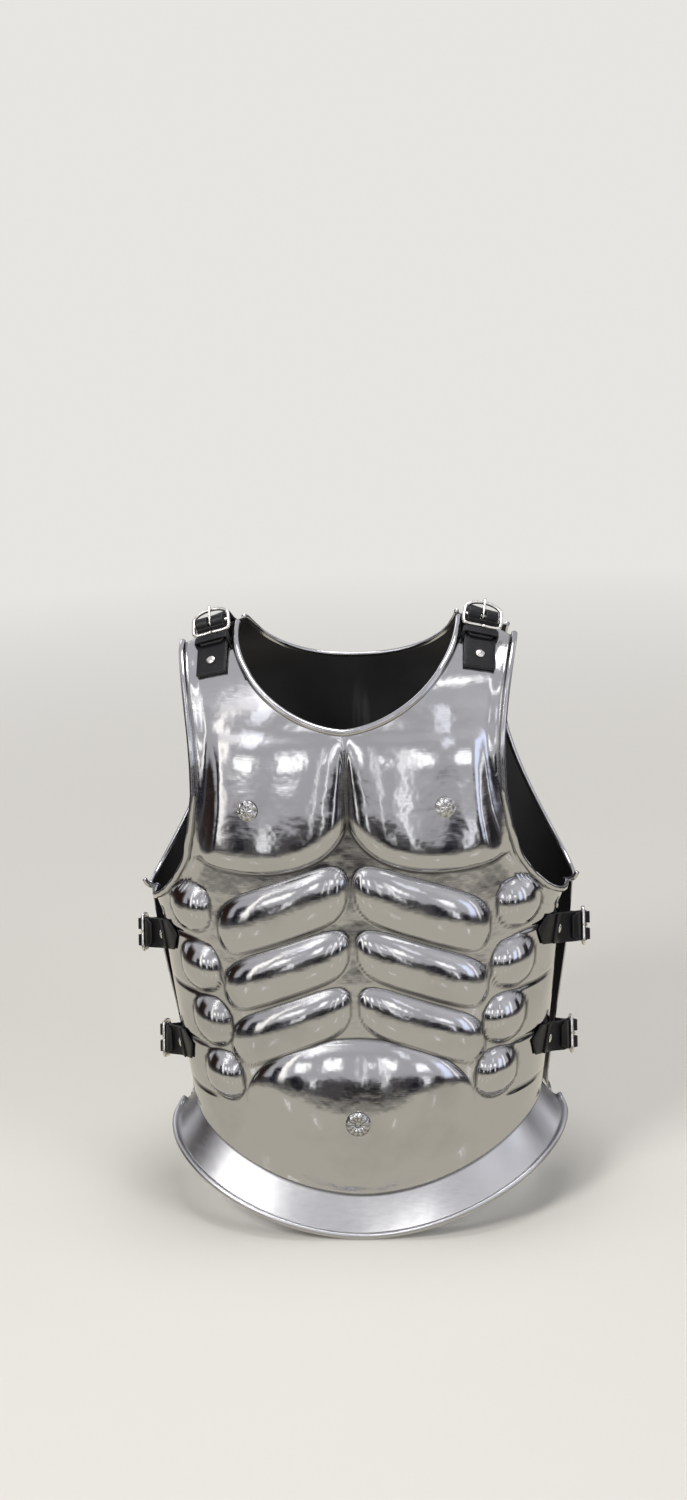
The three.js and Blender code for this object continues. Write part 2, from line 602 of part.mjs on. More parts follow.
function buildPlate(side, guides, layout) {
  const drop = necks[side].join;
  const endY = side < 0 ? tongueEndY : backTongueEndY;
  const columnShares = layout.shares;
  const neckColumn = layout.neck;
  const armholeColumn = layout.arm;
  const { neckShare, armShare } = layout;
  const columns = columnShares.map((share, index) => index);
  const signed = [...columns.slice(1).reverse().map((index) => -index), ...columns];
  const widest = halfWidthAt(-armpitDrop, side);
  const guidePoint = (column, guide) => {
    const share = columnShares[column];
    return { share, height: guides[guide].line(share * widest) };
  };
  const neckJoinX = neckX(-drop, side);
  const armJoinX = armholeHighX(-drop, side);

  // The row along the neckline, and straight across the tongues beside it
  const neckRow = (column) => {
    const share = columnShares[column];
    if (column <= neckColumn) {
      const x = neckJoinX * share / neckShare;
      return { x, height: zToHeight(x, neckZ(x, side)) };
    }
    const x = mix(neckJoinX, armJoinX, (share - neckShare) / (armShare - neckShare));
    return { x, height: zToHeight(x, -drop) };
  };

  const rows = [];
  guides.forEach((guide, index) => {
    for (let row = guide.rows === 0 ? 0 : 1; row <= guide.rows; row += 1) {
      const share = guide.rows === 0 ? 0 : row / guide.rows;
      rows.push((column) => {
        const high = guidePoint(column, index);
        const low = guidePoint(column, Math.max(index - 1, 0));
        const height = mix(low.height, high.height, share);
        return { share: high.share, height };
      });
    }
  });
  const armholeRow = rows.length - 1;
  for (let row = 1; row <= chestRows; row += 1) {
    rows.push((column) => {
      if (column > armholeColumn) return null;
      const low = guidePoint(column, guides.length - 1);
      const high = neckRow(column);
      const height = mix(low.height, high.height, row / chestRows);
      const x = mix(low.share * widest, high.x, row / chestRows);
      const edgeStart = guidePoint(armholeColumn, guides.length - 1).height;
      const edgeHeight = mix(edgeStart, neckRow(armholeColumn).height, row / chestRows);
      const edge = armholeHighX(heightToZ(x, edgeHeight), side);
      const plain = mix(armShare * widest, armJoinX, row / chestRows);
      return { x: x + (edge - plain) * columnShares[column] / armShare, height };
    });
  }
  const neckRowIndex = rows.length - 1;
  for (let row = 1; row <= tongueRows; row += 1) {
    rows.push((column) => {
      if (column > armholeColumn || column < neckColumn) return null;
      const across = (columnShares[column] - neckShare) / (armShare - neckShare);
      const start = neckRow(column);
      const full = depthAt(-springDrop, side) * depthShare(angleOf(strapLineX / widest));
      const reach = Math.abs(endY - edgeY(side)) / full;
      const rise = shoulderRiseAt(start.x);
      const corner = tongueCorner * smooth(4 * across - 3);
      const end = -springDrop + rise * Math.acos(reach) - corner;
      const height = mix(start.height, end, row / tongueRows);
      const z = heightToZ(start.x, height);
      return { x: mix(neckX(z, side), armholeHighX(z, side), across), height };
    });
  }

  const points = [];
  const places = new Map();
  rows.forEach((place, row) => signed.forEach((column) => {
    const found = place(Math.abs(column));
    if (!found) return;
    const share = found.share ?? found.x / halfWidthAt(Math.min(found.height, -springDrop), side);
    const angle = angleOf(Math.min(share, 1)) * Math.sign(column);
    places.set(`${column} ${row}`, points.length);
    points.push(surfacePoint(angle, found.height, side));
  }));

  const faces = [];
  for (let row = 0; row < rows.length - 1; row += 1) {
    for (let index = 0; index < signed.length - 1; index += 1) {
      const corners = [
        places.get(`${signed[index]} ${row}`),
        places.get(`${signed[index + 1]} ${row}`),
        places.get(`${signed[index + 1]} ${row + 1}`),
        places.get(`${signed[index]} ${row + 1}`),
      ];
      if (corners.includes(undefined)) continue;
      const [a, b, c, d] = side < 0 ? corners : corners.reverse();
      faces.push([a, b, c], [a, c, d]);
    }
  }

  const at = (column, row) => places.get(`${column} ${row}`);
  const neck = [];
  for (let row = rows.length - 1; row > neckRowIndex; row -= 1) neck.push(at(-neckColumn, row));
  const underNeck = signed.filter((column) => Math.abs(column) <= neckColumn);
  underNeck.forEach((column) => neck.push(at(column, neckRowIndex)));
  for (let row = neckRowIndex + 1; row < rows.length; row += 1) neck.push(at(neckColumn, row));
  const armhole = [];
  for (let row = rows.length - 1; row > armholeRow; row -= 1) armhole.push(at(armholeColumn, row));
  columns.filter((column) => column >= armholeColumn).forEach((column) => armhole.push(at(column, armholeRow)));
  const hem = signed.map((column) => at(column, 0));
  const keys = [...places.keys()];
  const opposite = (index) => {
    const [column, row] = keys[index].split(' ').map(Number);
    return at(-column, row);
  };
  return { points, faces, neck, armhole, hem, opposite };
}

// A round bead along a line of points
function bead(points, radius, sides, stepsShare = 1) {
  const section = new THREE.Shape();
  section.absarc(0, 0, radius, 0, 2 * Math.PI, false);
  const path = new THREE.CatmullRomCurve3(points, false, 'centripetal');
  const steps = Math.round((points.length - 1) * stepsShare);
  const settings = { steps, curveSegments: sides / 2, extrudePath: path, bevelEnabled: false };
  return new THREE.ExtrudeGeometry(section, settings);
}

// The same geometry on the other side of the body
function mirrored(source) {
  const plain = source.clone().deleteAttribute('normal').deleteAttribute('uv');
  const geometry = BufferGeometryUtils.mergeVertices(plain, mergeReach);
  geometry.scale(-1, 1, 1);
  geometry.setIndex([...geometry.getIndex().array].reverse());
  return geometry;
}

// A frame on a plate: the point, its normal and the direction up
function plateFrame(side, x, height) {
  const half = halfWidthAt(Math.min(height, -springDrop), side);
  const angle = angleOf(x / half);
  const step = frameSlopeShare;
  const reach = step * chestHalfWidth;
  const point = surfacePoint(angle, height, side);
  const at = (turn, rise) => surfacePoint(angle + turn, height + rise, side);
  const up = at(0, reach).sub(at(0, -reach)).normalize();
  const across = at(step, 0).sub(at(-step, 0));
  const normal = across.cross(up).multiplyScalar(-side).normalize();
  return { point, normal, up };
}

// x on a plate where it reaches a given y at a given height
function xAtY(side, y, z) {
  const reach = clamp01((y - edgeY(side)) * side / depthAt(z, side));
  return halfWidthAt(z, side) * (1 - reach ** sectionPower) ** (1 / sectionPower);
}

// Leather: a strip whose stations give a place, a normal, a half width and how far it goes above and below
function strip(stations) {
  const points = [];
  const faces = [];
  stations.forEach((station, order) => {
    const before = stations[Math.max(order - 1, 0)].point;
    const after = stations[Math.min(order + 1, stations.length - 1)].point;
    const along = after.clone().sub(before).normalize();
    const across = station.normal.clone().cross(along).normalize();
    const normal = along.clone().cross(across).normalize();
    const { half, below, above } = station;
    [[-half, -below], [half, -below], [half, above], [-half, above]].forEach(([reach, level]) => {
      points.push(station.point.clone().addScaledVector(across, reach).addScaledVector(normal, level));
    });
    if (order === 0) return;
    const base = 4 * (order - 1);
    const sides = [[0, 1, 5, 4], [1, 2, 6, 5], [3, 7, 6, 2], [3, 0, 4, 7]];
    const quads = sides.map((quad) => quad.map((index) => base + index));
    quads.forEach(([a, b, c, d]) => faces.push([a, b, c], [a, c, d]));
  });
  const last = points.length - 4;
  faces.push([0, 2, 1], [0, 3, 2], [last, last + 1, last + 2], [last, last + 2, last + 3]);
  return toSolid(toGeometry(points, faces));
}

// Stations between control stations on a smooth line; each control says how many steps lead to the next
function refine(controls) {
  const path = new THREE.CatmullRomCurve3(controls.map((control) => control.point), false, 'centripetal');
  const stations = [];
  controls.forEach((control, index) => {
    const next = controls[index + 1];
    if (!next) {
      stations.push(control);
      return;
    }
    for (let step = 0; step < control.steps; step += 1) {
      const share = step / control.steps;
      stations.push({
        point: path.getPoint((index + share) / (controls.length - 1)),
        normal: control.normal.clone().lerp(next.normal, share).normalize(),
        half: mix(control.half, next.half, share),
        below: mix(control.below, next.below, share),
        above: mix(control.above, next.above, share),
      });
    }
  });
  return stations;
}

// Wire, pins and boxes
function place(geometry, matrix) {
  return toSolid(geometry.applyMatrix4(matrix));
}

function frameMatrix(origin, along, up, out) {
  return new THREE.Matrix4().makeBasis(along, up, out).setPosition(origin);
}

function aim(origin, axis) {
  const side = Math.abs(axis.z) < 1 / 2 ? new THREE.Vector3(0, 0, 1) : new THREE.Vector3(0, 1, 0);
  const along = side.cross(axis).normalize();
  return frameMatrix(origin, along, axis.clone().cross(along), axis);
}

function turned(profile, sides, matrix) {
  const points = profile.map(([radius, level]) => new THREE.Vector2(radius, level));
  return place(new THREE.LatheGeometry(points, sides).rotateX(quarter), matrix);
}

function drill(origin, axis, radius) {
  const reach = chapeLayer * 2 + cutOverrun;
  const geometry = new THREE.CylinderGeometry(radius, radius, 2 * reach, pinSides).rotateX(quarter);
  return place(geometry, aim(origin, axis));
}

function box(low, high, matrix) {
  const size = high.map((value, index) => value - low[index]);
  const middle = high.map((value, index) => (value + low[index]) / 2);
  return place(new THREE.BoxGeometry(...size).translate(...middle), matrix);
}

// Rivets stand on a plate's outer surface, with a stack of leather under the head and a burr inside
function shankProfile(under) {
  const inside = -sheet - burrGap;
  return [
    [0, inside - burrThickness],
    [burrRadius, inside - burrThickness],
    [burrRadius, inside],
    [rivetShank, inside],
    [rivetShank, under],
  ];
}

function rivetSolid(frame, stack) {
  const under = stack + touchGap;
  const profile = [
    ...shankProfile(under),
    [rivetHead, under],
    [rivetHead * rivetDomeShares[0], under + rivetHeadHeight * rivetDomeShares[1]],
    [0, under + rivetHeadHeight],
  ];
  return turned(profile, pinSides, aim(frame.point, frame.normal));
}

// Breastplate
const front = buildPlate(-1, frontGuides, frontColumns);
const frontShell = thicken(front.points, front.faces, sheet, [
  { line: front.neck, radius: rollRadius },
  { line: front.armhole, radius: rollRadius },
  { line: front.armhole.map((index) => front.opposite(index)), radius: rollRadius },
]);
const hookShares = [[-0.1, -0.3, 0], [0.3, 0.15, 0.15], [0.75, 0.45, 0.5], [1, 0.55, 1]];
const armpit = front.points[front.armhole[front.armhole.length - 1]];
const hook = bead(hookShares.map(([outShare, frontShare, upShare]) => new THREE.Vector3(
  armpit.x + rollRadius - sheet + outShare * hookOut,
  armpit.y - (frontShare + hookFrontShare) * hookOut,
  armpit.z + rollRadius + upShare * hookUp,
)), rollRadius * hookShare, wireSides);
let breastplate = toSolid(frontShell.geometry).add(toSolid(hook)).add(toSolid(mirrored(hook)));

// Backplate
const back = buildPlate(1, backGuides, backColumns);
const backShell = thicken(back.points, back.faces, sheet, [
  { line: back.neck, radius: backRollRadius },
  { line: back.hem, radius: backRollRadius },
  { line: back.armhole, radius: backRollRadius },
  { line: back.armhole.map((index) => back.opposite(index)), radius: backRollRadius },
]);
let backplate = toSolid(backShell.geometry);

// Belly flange: a lip behind the breastplate's lower edge, a bend and a flared band with a rolled edge
const flangeRowShares = [0.1, 0.35, 0.65, 1];

function buildFlange() {
  const signedCount = front.hem.length;
  const edge = front.hem;
  const ends = edge.map((index) => front.points[index]);
  const run = [0];
  for (let index = 1; index < signedCount; index += 1) {
    run.push(run[index - 1] + ends[index].distanceTo(ends[index - 1]));
  }
  const rows = [[], [], ...flangeRowShares.map(() => [])];
  edge.forEach((point, index) => {
    const normal = frontShell.normals[point];
    const before = ends[Math.max(index - 1, 0)];
    const after = ends[Math.min(index + 1, signedCount - 1)];
    const along = after.clone().sub(before).normalize();
    const down = along.clone().cross(normal).normalize();
    const depth = -sheet - flangeGap;
    const root = ends[index].clone().addScaledVector(normal, depth);
    const next = point + signedCount;
    const above = front.points[next].clone().addScaledVector(frontShell.normals[next], depth);
    const lipShare = Math.min(1, flangeLip / above.distanceTo(root));
    rows[0].push(root.clone().lerp(above, lipShare));
    rows[1].push(root.clone().addScaledVector(down, flangeBend));
    const fromEnd = Math.min(run[index], run[signedCount - 1] - run[index]);
    const side = Math.sign(ends[index].x);
    const open = clamp01(fromEnd / flangeCorner + flangeTipShare);
    const width = flangeWidth * Math.sqrt(1 - (1 - open) ** 2);
    flangeRowShares.forEach((share, row) => {
      const out = (flangeOutShares[0] * share + flangeOutShares[1] * share ** 2) * width;
      const fall = (flangeDownShares[0] * share + flangeDownShares[1] * share ** 2) * width + flangeBend;
      const back = side * flangeSweep * share ** flangeSweepPower * smooth(1 - fromEnd / flangeSweepRun);
      const point = root.clone().addScaledVector(normal, out).addScaledVector(down, fall);
      rows[row + 2].push(point.addScaledVector(along, back));
    });
  });
  rows.reverse();
  const points = rows.flat();
  const faces = [];
  for (let row = 0; row < rows.length - 1; row += 1) {
    for (let index = 0; index < signedCount - 1; index += 1) {
      const base = row * signedCount + index;
      faces.push([base, base + 1, base + 1 + signedCount], [base, base + 1 + signedCount, base + signedCount]);
    }
  }
  const line = rows[0].map((_, index) => index);
  return toSolid(thicken(points, faces, flangeSheet, [{ line, radius: rollRadius }]).geometry);
}

const flange = buildFlange();

// Wire buckle in its own frame: bar along X, arch towards +Y, outward +Z
function buckleSolid(matrix) {
  const inner = buckleHalfWidth - buckleCorner;
  const points = [[-inner, -frontReach], [0, -frontReach], [inner, -frontReach]];
  cornerShares.forEach(([inShare, upShare]) => {
    points.push([buckleHalfWidth - buckleCorner * inShare, -frontReach + buckleCorner * upShare]);
  });
  points.push([buckleHalfWidth, 0]);
  const arch = [];
  for (let step = 1; step < archSteps; step += 1) {
    const turn = step / archSteps * Math.PI;
    arch.push([buckleHalfWidth * Math.cos(turn), archFoot + (archReach - archFoot) * Math.sin(turn)]);
  }
  const otherSide = points.slice(3).reverse().map(([x, y]) => [-x, y]);
  const loop = [...points, ...arch, ...otherSide].map(([x, y]) => new THREE.Vector3(x, y, 0));
  const path = new THREE.CatmullRomCurve3(loop, true, 'centripetal');
  const wire = place(new THREE.TubeGeometry(path, wireSteps, wireRadius, wireSides, true), matrix);
  const bar = new THREE.CylinderGeometry(barRadius, barRadius, 2 * buckleHalfWidth, wireSides).rotateZ(quarter);
  const slot = box(
    [-jointGap / 2, -frontReach - cutOverrun, -cutOverrun],
    [jointGap / 2, -frontReach + cutOverrun, cutOverrun],
    matrix,
  );
  return wire.add(place(bar, matrix)).subtract(slot);
}

function prongSolid(matrix) {
  const eye = barRadius + touchGap + prongRadius;
  const tipLevel = wireRadius + touchGap + prongRadius;
  const points = eyeTurns.map((degrees) => {
    const turn = THREE.MathUtils.degToRad(degrees);
    return new THREE.Vector3(0, eye * Math.cos(turn), eye * Math.sin(turn));
  });
  points.push(new THREE.Vector3(0, archReach / 3, tipLevel));
  points.push(new THREE.Vector3(0, archReach + wireRadius, tipLevel));
  return place(bead(points, prongRadius, wireSides, prongStepShare), matrix);
}

// Leather in a buckle's frame: (s, n) pairs as shares of the reach to the front bar
const chapeThickness = 2 * chapeLayer;
const strapUnderBar = wireRadius + touchGap + strapThickness / 2;
const chapeUnderBar = strapUnderBar + strapThickness / 2 + touchGap + chapeLayer;
const chapeShares = [[-1, -1.01], [-0.75, -0.93], [-0.43, -0.57], [0, 0]];
const sideDipShares = [-1.65, -1.36]; // the side chapes stay low behind the front bar
const strapUpShares = [[-1, -1], [-0.75, -0.63], [-0.57, 0.17], [-0.27, 1.34], [0, 1.66]];
const strapDownShares = [[0.21, 1.42], [0.4, 0.45], [0.57, -1.05], [0.77, -2.2], [1, -3]];

function local(matrix, s, n) {
  return new THREE.Vector3(0, s, n).applyMatrix4(matrix);
}

function station(point, normal, half, below, above, steps = 1) {
  return { point, normal, half, below, above, steps };
}

function chapeStations(controls, matrix) {
  const out = new THREE.Vector3().setFromMatrixColumn(matrix, 2);
  const free = chapeShares.map(([s, n]) => station(
    local(matrix, s * frontReach, n * chapeUnderBar),
    out,
    chapeWidth / 2,
    chapeLayer,
    chapeLayer,
  ));
  return refine([...controls, ...free]);
}

function chapeSolid(stations, matrix, rivet) {
  const hole = barRadius + touchGap;
  const cylinder = (radius, length) => place(
    new THREE.CylinderGeometry(radius, radius, length, eyeSides).rotateZ(quarter),
    matrix,
  );
  const slotReach = hole + 2 * prongRadius + 2 * touchGap;
  const slot = box([-prongSlotHalf, -slotReach, -slotReach], [prongSlotHalf, slotReach, slotReach], matrix);
  return strip(stations)
    .add(cylinder(hole + chapeLayer, chapeWidth))
    .subtract(cylinder(hole, chapeWidth + cutOverrun))
    .subtract(slot)
    .subtract(drill(rivet.point, rivet.normal, rivetHole));
}

// The end of the strap lies on the chape, two stations back from the front bar
function tailStations(chape) {
  const layer = strapThickness / 2;
  const bar = chape.length - chapeShares.length;
  return [bar - 2, bar - 1].map((index, order) => {
    const { point, normal } = chape[index];
    const along = chape[index + 1].point.clone().sub(chape[index - 1].point).normalize();
    const square = normal.clone().addScaledVector(along, -normal.dot(along)).normalize();
    const lift = chapeLayer + touchGap + twistRoom + layer;
    const half = order === 0 ? strapWidth / 2 - strapCorner : strapWidth / 2;
    return station(point.clone().addScaledVector(square, lift), square, half, layer, layer);
  });
}

function strapSolid(chape, heel, matrix, rivet) {
  const out = new THREE.Vector3().setFromMatrixColumn(matrix, 2);
  const layer = strapThickness / 2;
  const tail = tailStations(chape);
  const middle = (s, n) => station(local(matrix, s, n), out, strapWidth / 2, layer, layer);
  const up = strapUpShares.map(([s, n]) => middle(s * frontReach, n * strapUnderBar));
  const down = strapDownShares.map(([s, n]) => middle(s * archReach, n * strapUnderBar));
  const slot = box(
    [-prongSlotHalf, -strapSlotFront, -2 * frontReach],
    [prongSlotHalf, strapSlotBack, 2 * frontReach],
    matrix,
  );
  return strip(refine([...tail, ...up, ...down, ...heel]))
    .subtract(slot)
    .subtract(drill(rivet.point, rivet.normal, rivetHole));
}

function onPlate(frame, lift, half, below, above, steps = 1) {
  return station(frame.point.clone().addScaledVector(frame.normal, lift), frame.normal, half, below, above, steps);
}

const strapLift = touchGap + strapThickness / 2;
const chapeLift = touchGap + chapeLayer;

function shoulderSet(hand, suffix) {
  const x = hand * strapLineX;
  const rivetHeight = zToHeight(x, -shoulderRivetDrop);
  const footHeight = rivetHeight + shoulderFoot;
  const at = (height) => plateFrame(-1, x, height);
  const foot = at(footHeight);
  const raise = keeperUnder + 2 * touchGap;
  const barLift = touchGap + raise + chapeUnderBar + chapeLayer;
  const across = foot.normal.clone().cross(foot.up).negate().normalize();
  const up = foot.up.clone().applyAxisAngle(across, buckleTilt);
  const out = foot.normal.clone().applyAxisAngle(across, buckleTilt);
  const frontBar = foot.point.clone().addScaledVector(foot.normal, barLift);
  const origin = frontBar.addScaledVector(up, frontReach);
  const matrix = frameMatrix(origin, across, up, out);
  const rivet = at(rivetHeight);
  const half = chapeWidth / 2;
  const chapeControls = [
    onPlate(at(rivetHeight - chapeTail), chapeLift + frontSeat, half, chapeLayer, chapeLayer, 2),
    onPlate(rivet, chapeLift + frontSeat, half, chapeLayer, chapeLayer, 2),
    onPlate(at(footHeight - tailFoot), chapeLift + raise, half, chapeLayer, chapeLayer),
    onPlate(at(footHeight - tailFoot / 2), chapeLift + raise, half, chapeLayer, chapeLayer),
  ];
  const layer = strapThickness / 2;
  const chape = chapeStations(chapeControls, matrix);
  const behind = (y) => plateFrame(1, x, backHeightAt(x, y));
  const strapRivet = behind(backRivetY);
  const heel = [
    ...[strapCorner, backRivetY - backTongueEndY - strapHeel, backRivetY - backTongueEndY]
      .map((run) => onPlate(behind(backTongueEndY + run), strapLift + twistRoom, strapWidth / 2, layer, layer)),
    onPlate(behind(backRivetY + strapHeel - strapCorner), strapLift, strapWidth / 2, layer, layer),
    onPlate(behind(backRivetY + strapHeel), strapLift, strapWidth / 2 - strapCorner, layer, layer),
  ];
  const keeperFrame = at(footHeight - keeperFoot);
  const keeperAcross = keeperFrame.normal.clone().cross(keeperFrame.up).negate().normalize();
  const keeperMatrix = frameMatrix(keeperFrame.point, keeperAcross, keeperFrame.up, keeperFrame.normal);
  const inside = half + keeperSlack;
  const innerLow = touchGap + keeperUnder;
  const innerHigh = touchGap + raise + chapeThickness + 2 * touchGap + strapThickness + 2 * touchGap;
  const keeper = box(
    [-inside - keeperWall, -keeperWidth / 2, touchGap],
    [inside + keeperWall, keeperWidth / 2, innerHigh + keeperWall],
    keeperMatrix,
  ).subtract(box([-inside, -keeperWidth, innerLow], [inside, keeperWidth, innerHigh], keeperMatrix));

  addPiece(`shoulder_strap_${suffix}`, strapSolid(chape, heel, matrix, strapRivet), leather);
  addPiece(`shoulder_strap_rivet_${suffix}`, rivetSolid(strapRivet, strapLift + layer + twistRoom), bright);
  addPiece(`shoulder_chape_${suffix}`, chapeSolid(chape, matrix, rivet), leather);
  addPiece(`shoulder_chape_rivet_${suffix}`, rivetSolid(rivet, chapeLift + chapeLayer + frontSeat), bright);
  addPiece(`shoulder_keeper_${suffix}`, keeper, leather);
  addPiece(`shoulder_buckle_${suffix}`, buckleSolid(matrix), bright);
  addPiece(`shoulder_prong_${suffix}`, prongSolid(matrix), bright);
  breastplate = breastplate.subtract(drill(rivet.point, rivet.normal, rivetHole));
  backplate = backplate.subtract(drill(strapRivet.point, strapRivet.normal, rivetHole));
}

function backHeightAt(x, y) {
  const share = Math.abs(x) / halfWidthAt(-springDrop, 1);
  const depth = backDepth * depthShare(angleOf(share));
  return -springDrop + shoulderRiseAt(x) * Math.acos(clamp01((y - edgeY(1)) / depth));
}

function sideSet(hand, dropShare, suffix) {
  const dropZ = -dropShare * hipDrop;
  const zAt = (y) => dropZ - sideFallShare * (y - sideRivetY);
  const at = (side, y) => plateFrame(side, hand * xAtY(side, y, zAt(y)), zAt(y));
  const rivet = at(-1, sideRivetY);
  const strapRivet = at(1, sideBackY);
  const up = strapRivet.point.clone().sub(rivet.point).normalize();
  const plain = new THREE.Vector3(hand, 0, 0);
  const along = up.clone().cross(plain).normalize();
  const out = along.clone().cross(up).normalize();
  const origin = rivet.point.clone().lerp(strapRivet.point, sideSplit).addScaledVector(out, sideBulge);
  const matrix = frameMatrix(origin, along, up, out);
  const half = chapeWidth / 2;
  const lift = chapeLift + frontSeat;
  const near = (y, above, width, steps = 1) => onPlate(at(-1, y), lift, width, chapeLayer, above, steps);
  const stepY = sideRivetY - sideStep;
  const chapeControls = [
    near(sideRivetY - sideTail, 0, strapThickness / 2),
    near(sideRivetY - sideTail + sidePoint, 0, half, 2),
    near(stepY - touchGap / 2, 0, half),
    near(stepY, chapeLayer, half),
    near(sideRivetY, chapeLayer, half),
    near(sideRivetY + sideStep, chapeLayer, half, 3),
    station(
      local(matrix, sideDipShares[0] * frontReach, sideDipShares[1] * chapeUnderBar),
      out,
      half,
      chapeLayer,
      chapeLayer,
    ),
  ];
  const layer = strapThickness / 2;
  const chape = chapeStations(chapeControls, matrix);
  const far = (y, width, steps = 1) => onPlate(at(1, y), strapLift + backSeat, width, layer, layer, steps);
  const heel = [
    far(sideBackY - strapHeel, strapWidth / 2),
    far(sideBackY, strapWidth / 2),
    far(sideBackY + strapHeel - strapCorner, strapWidth / 2),
    far(sideBackY + strapHeel, strapWidth / 2 - strapCorner),
  ];

  addPiece(`side_strap_${suffix}`, strapSolid(chape, heel, matrix, strapRivet), leather);
  addPiece(`side_strap_rivet_${suffix}`, rivetSolid(strapRivet, strapLift + layer + backSeat), bright);
  addPiece(`side_chape_${suffix}`, chapeSolid(chape, matrix, rivet), leather);
  addPiece(`side_chape_rivet_${suffix}`, rivetSolid(rivet, chapeLift + chapeLayer + frontSeat), bright);
  addPiece(`side_buckle_${suffix}`, buckleSolid(matrix), bright);
  addPiece(`side_prong_${suffix}`, prongSolid(matrix), bright);
  breastplate = breastplate.subtract(drill(rivet.point, rivet.normal, rivetHole));
  backplate = backplate.subtract(drill(strapRivet.point, strapRivet.normal, rivetHole));
}

[[1, 'left'], [-1, 'right']].forEach(([hand, name]) => {
  shoulderSet(hand, name);
  sideSet(hand, sideDropShares[0], `upper_${name}`);
  sideSet(hand, sideDropShares[1], `lower_${name}`);
});

// Studs: a rosette of pointed facets round an apex, on a shank with a burr
function studSolid(frame) {
  const lift = touchGap + studSeat;
  const profile = [
    ...shankProfile(lift),
    [nippleRadius, lift],
    [nippleRadius, lift + nippleBase],
    ...studRingShares.map(([out, up]) => [nippleRadius * out, lift + nippleHeight * up]),
    [0, lift + nippleHeight],
  ];
  const points = profile.map(([radius, level]) => new THREE.Vector2(radius, level));
  const geometry = new THREE.LatheGeometry(points, studSides).rotateX(quarter);
  const position = geometry.getAttribute('position');
  const firstFacet = profile.length - 1 - facetDipShares.length;
  for (let index = 0; index < position.count; index += 1) {
    const ring = index % profile.length;
    const spoke = (index - ring) / profile.length;
    const dip = facetDipShares[ring - firstFacet] ?? 0;
    const low = (spoke + ring - firstFacet) % 2 === 1;
    if (low) position.setZ(index, position.getZ(index) - nippleBase * dip);
  }
  return place(geometry, aim(frame.point, frame.normal));
}

function navelSolid(frame) {
  const lift = touchGap + studSeat;
  const inside = -sheet - burrGap;
  const shank = navelHole + sheet;
  const face = navelRingShares.map(([out, up]) => [navelRadius * out, lift + navelHeight * up]);
  const profile = [
    [navelHole, inside - burrThickness],
    [shank + burrThickness, inside - burrThickness],
    [shank + burrThickness, inside],
    [shank, inside],
    [shank, lift],
    [navelRadius, lift],
    [navelRadius, lift + nippleBase],
    ...face,
    [navelHole, lift + navelHeight * navelMouthShare],
    [navelHole, inside - burrThickness],
  ];
  return turned(profile, studSides, aim(frame.point, frame.normal));
}

[[1, 'left'], [-1, 'right']].forEach(([hand, name]) => {
  const frame = plateFrame(-1, hand * pecCentreX, -pecCentreDrop + nippleRise);
  addPiece(`nipple_stud_${name}`, studSolid(frame), studSteel);
  breastplate = breastplate.subtract(drill(frame.point, frame.normal, rivetHole));
});
const navelFrame = plateFrame(-1, 0, -bellyDomeDrop);
addPiece('navel_rivet', navelSolid(navelFrame), studSteel);
const navelShankHole = (navelHole + sheet + touchGap) * octagonShare;
breastplate = breastplate.subtract(drill(navelFrame.point, navelFrame.normal, navelShankHole));

addPiece('breastplate', breastplate, steel);
addPiece('belly_flange', flange, steel);
addPiece('backplate', backplate, steelBack);

export default group;
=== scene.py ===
# %% [markdown]
# # A muscle cuirass in steel and leather
# The object is a breastplate embossed like a chest and a belly, a plain backplate, a flared flange under
# the belly, and six straps of black leather with wire buckles that hold the two plates together.
# The imported CAD model gives the frame: where everything is. The CAD plates are made of
# flat facets, which show at once on polished metal, so every piece is worked out again here on a fine
# grid, from the same sizes and the same formulas.

# %% Load the frame
import math

import bpy
import numpy as np
from mathutils import Matrix, Vector


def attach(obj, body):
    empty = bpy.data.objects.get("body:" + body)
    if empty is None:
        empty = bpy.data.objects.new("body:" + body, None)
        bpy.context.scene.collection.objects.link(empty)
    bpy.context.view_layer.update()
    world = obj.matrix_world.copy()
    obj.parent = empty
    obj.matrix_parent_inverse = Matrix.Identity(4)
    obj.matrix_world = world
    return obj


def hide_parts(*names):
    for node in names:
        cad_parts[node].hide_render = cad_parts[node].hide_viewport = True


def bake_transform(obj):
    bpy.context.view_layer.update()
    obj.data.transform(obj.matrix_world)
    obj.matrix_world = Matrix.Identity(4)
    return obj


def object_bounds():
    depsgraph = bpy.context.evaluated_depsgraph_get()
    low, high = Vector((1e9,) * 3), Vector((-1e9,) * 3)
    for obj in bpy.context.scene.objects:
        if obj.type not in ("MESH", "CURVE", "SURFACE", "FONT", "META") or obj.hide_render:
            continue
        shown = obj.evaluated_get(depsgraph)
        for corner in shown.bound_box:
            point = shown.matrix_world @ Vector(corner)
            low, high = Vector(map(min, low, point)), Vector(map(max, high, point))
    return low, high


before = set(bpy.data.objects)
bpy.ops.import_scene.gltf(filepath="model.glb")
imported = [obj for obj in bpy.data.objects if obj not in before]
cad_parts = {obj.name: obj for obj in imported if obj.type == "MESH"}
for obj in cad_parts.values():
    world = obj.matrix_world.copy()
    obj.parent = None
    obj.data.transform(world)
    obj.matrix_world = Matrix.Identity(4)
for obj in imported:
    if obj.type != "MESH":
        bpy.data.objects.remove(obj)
cad_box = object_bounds()
MM = 0.001
print("CAD box", [tuple(round(v, 3) for v in corner) for corner in cad_box])

# %% [markdown]
# The camera comes first. It stands in front of the object, a little to its left and above it, and looks
# down. A constraint could aim it at a point, but its three directions were worked out from the photograph,
# slight roll included, so it is set by a matrix.

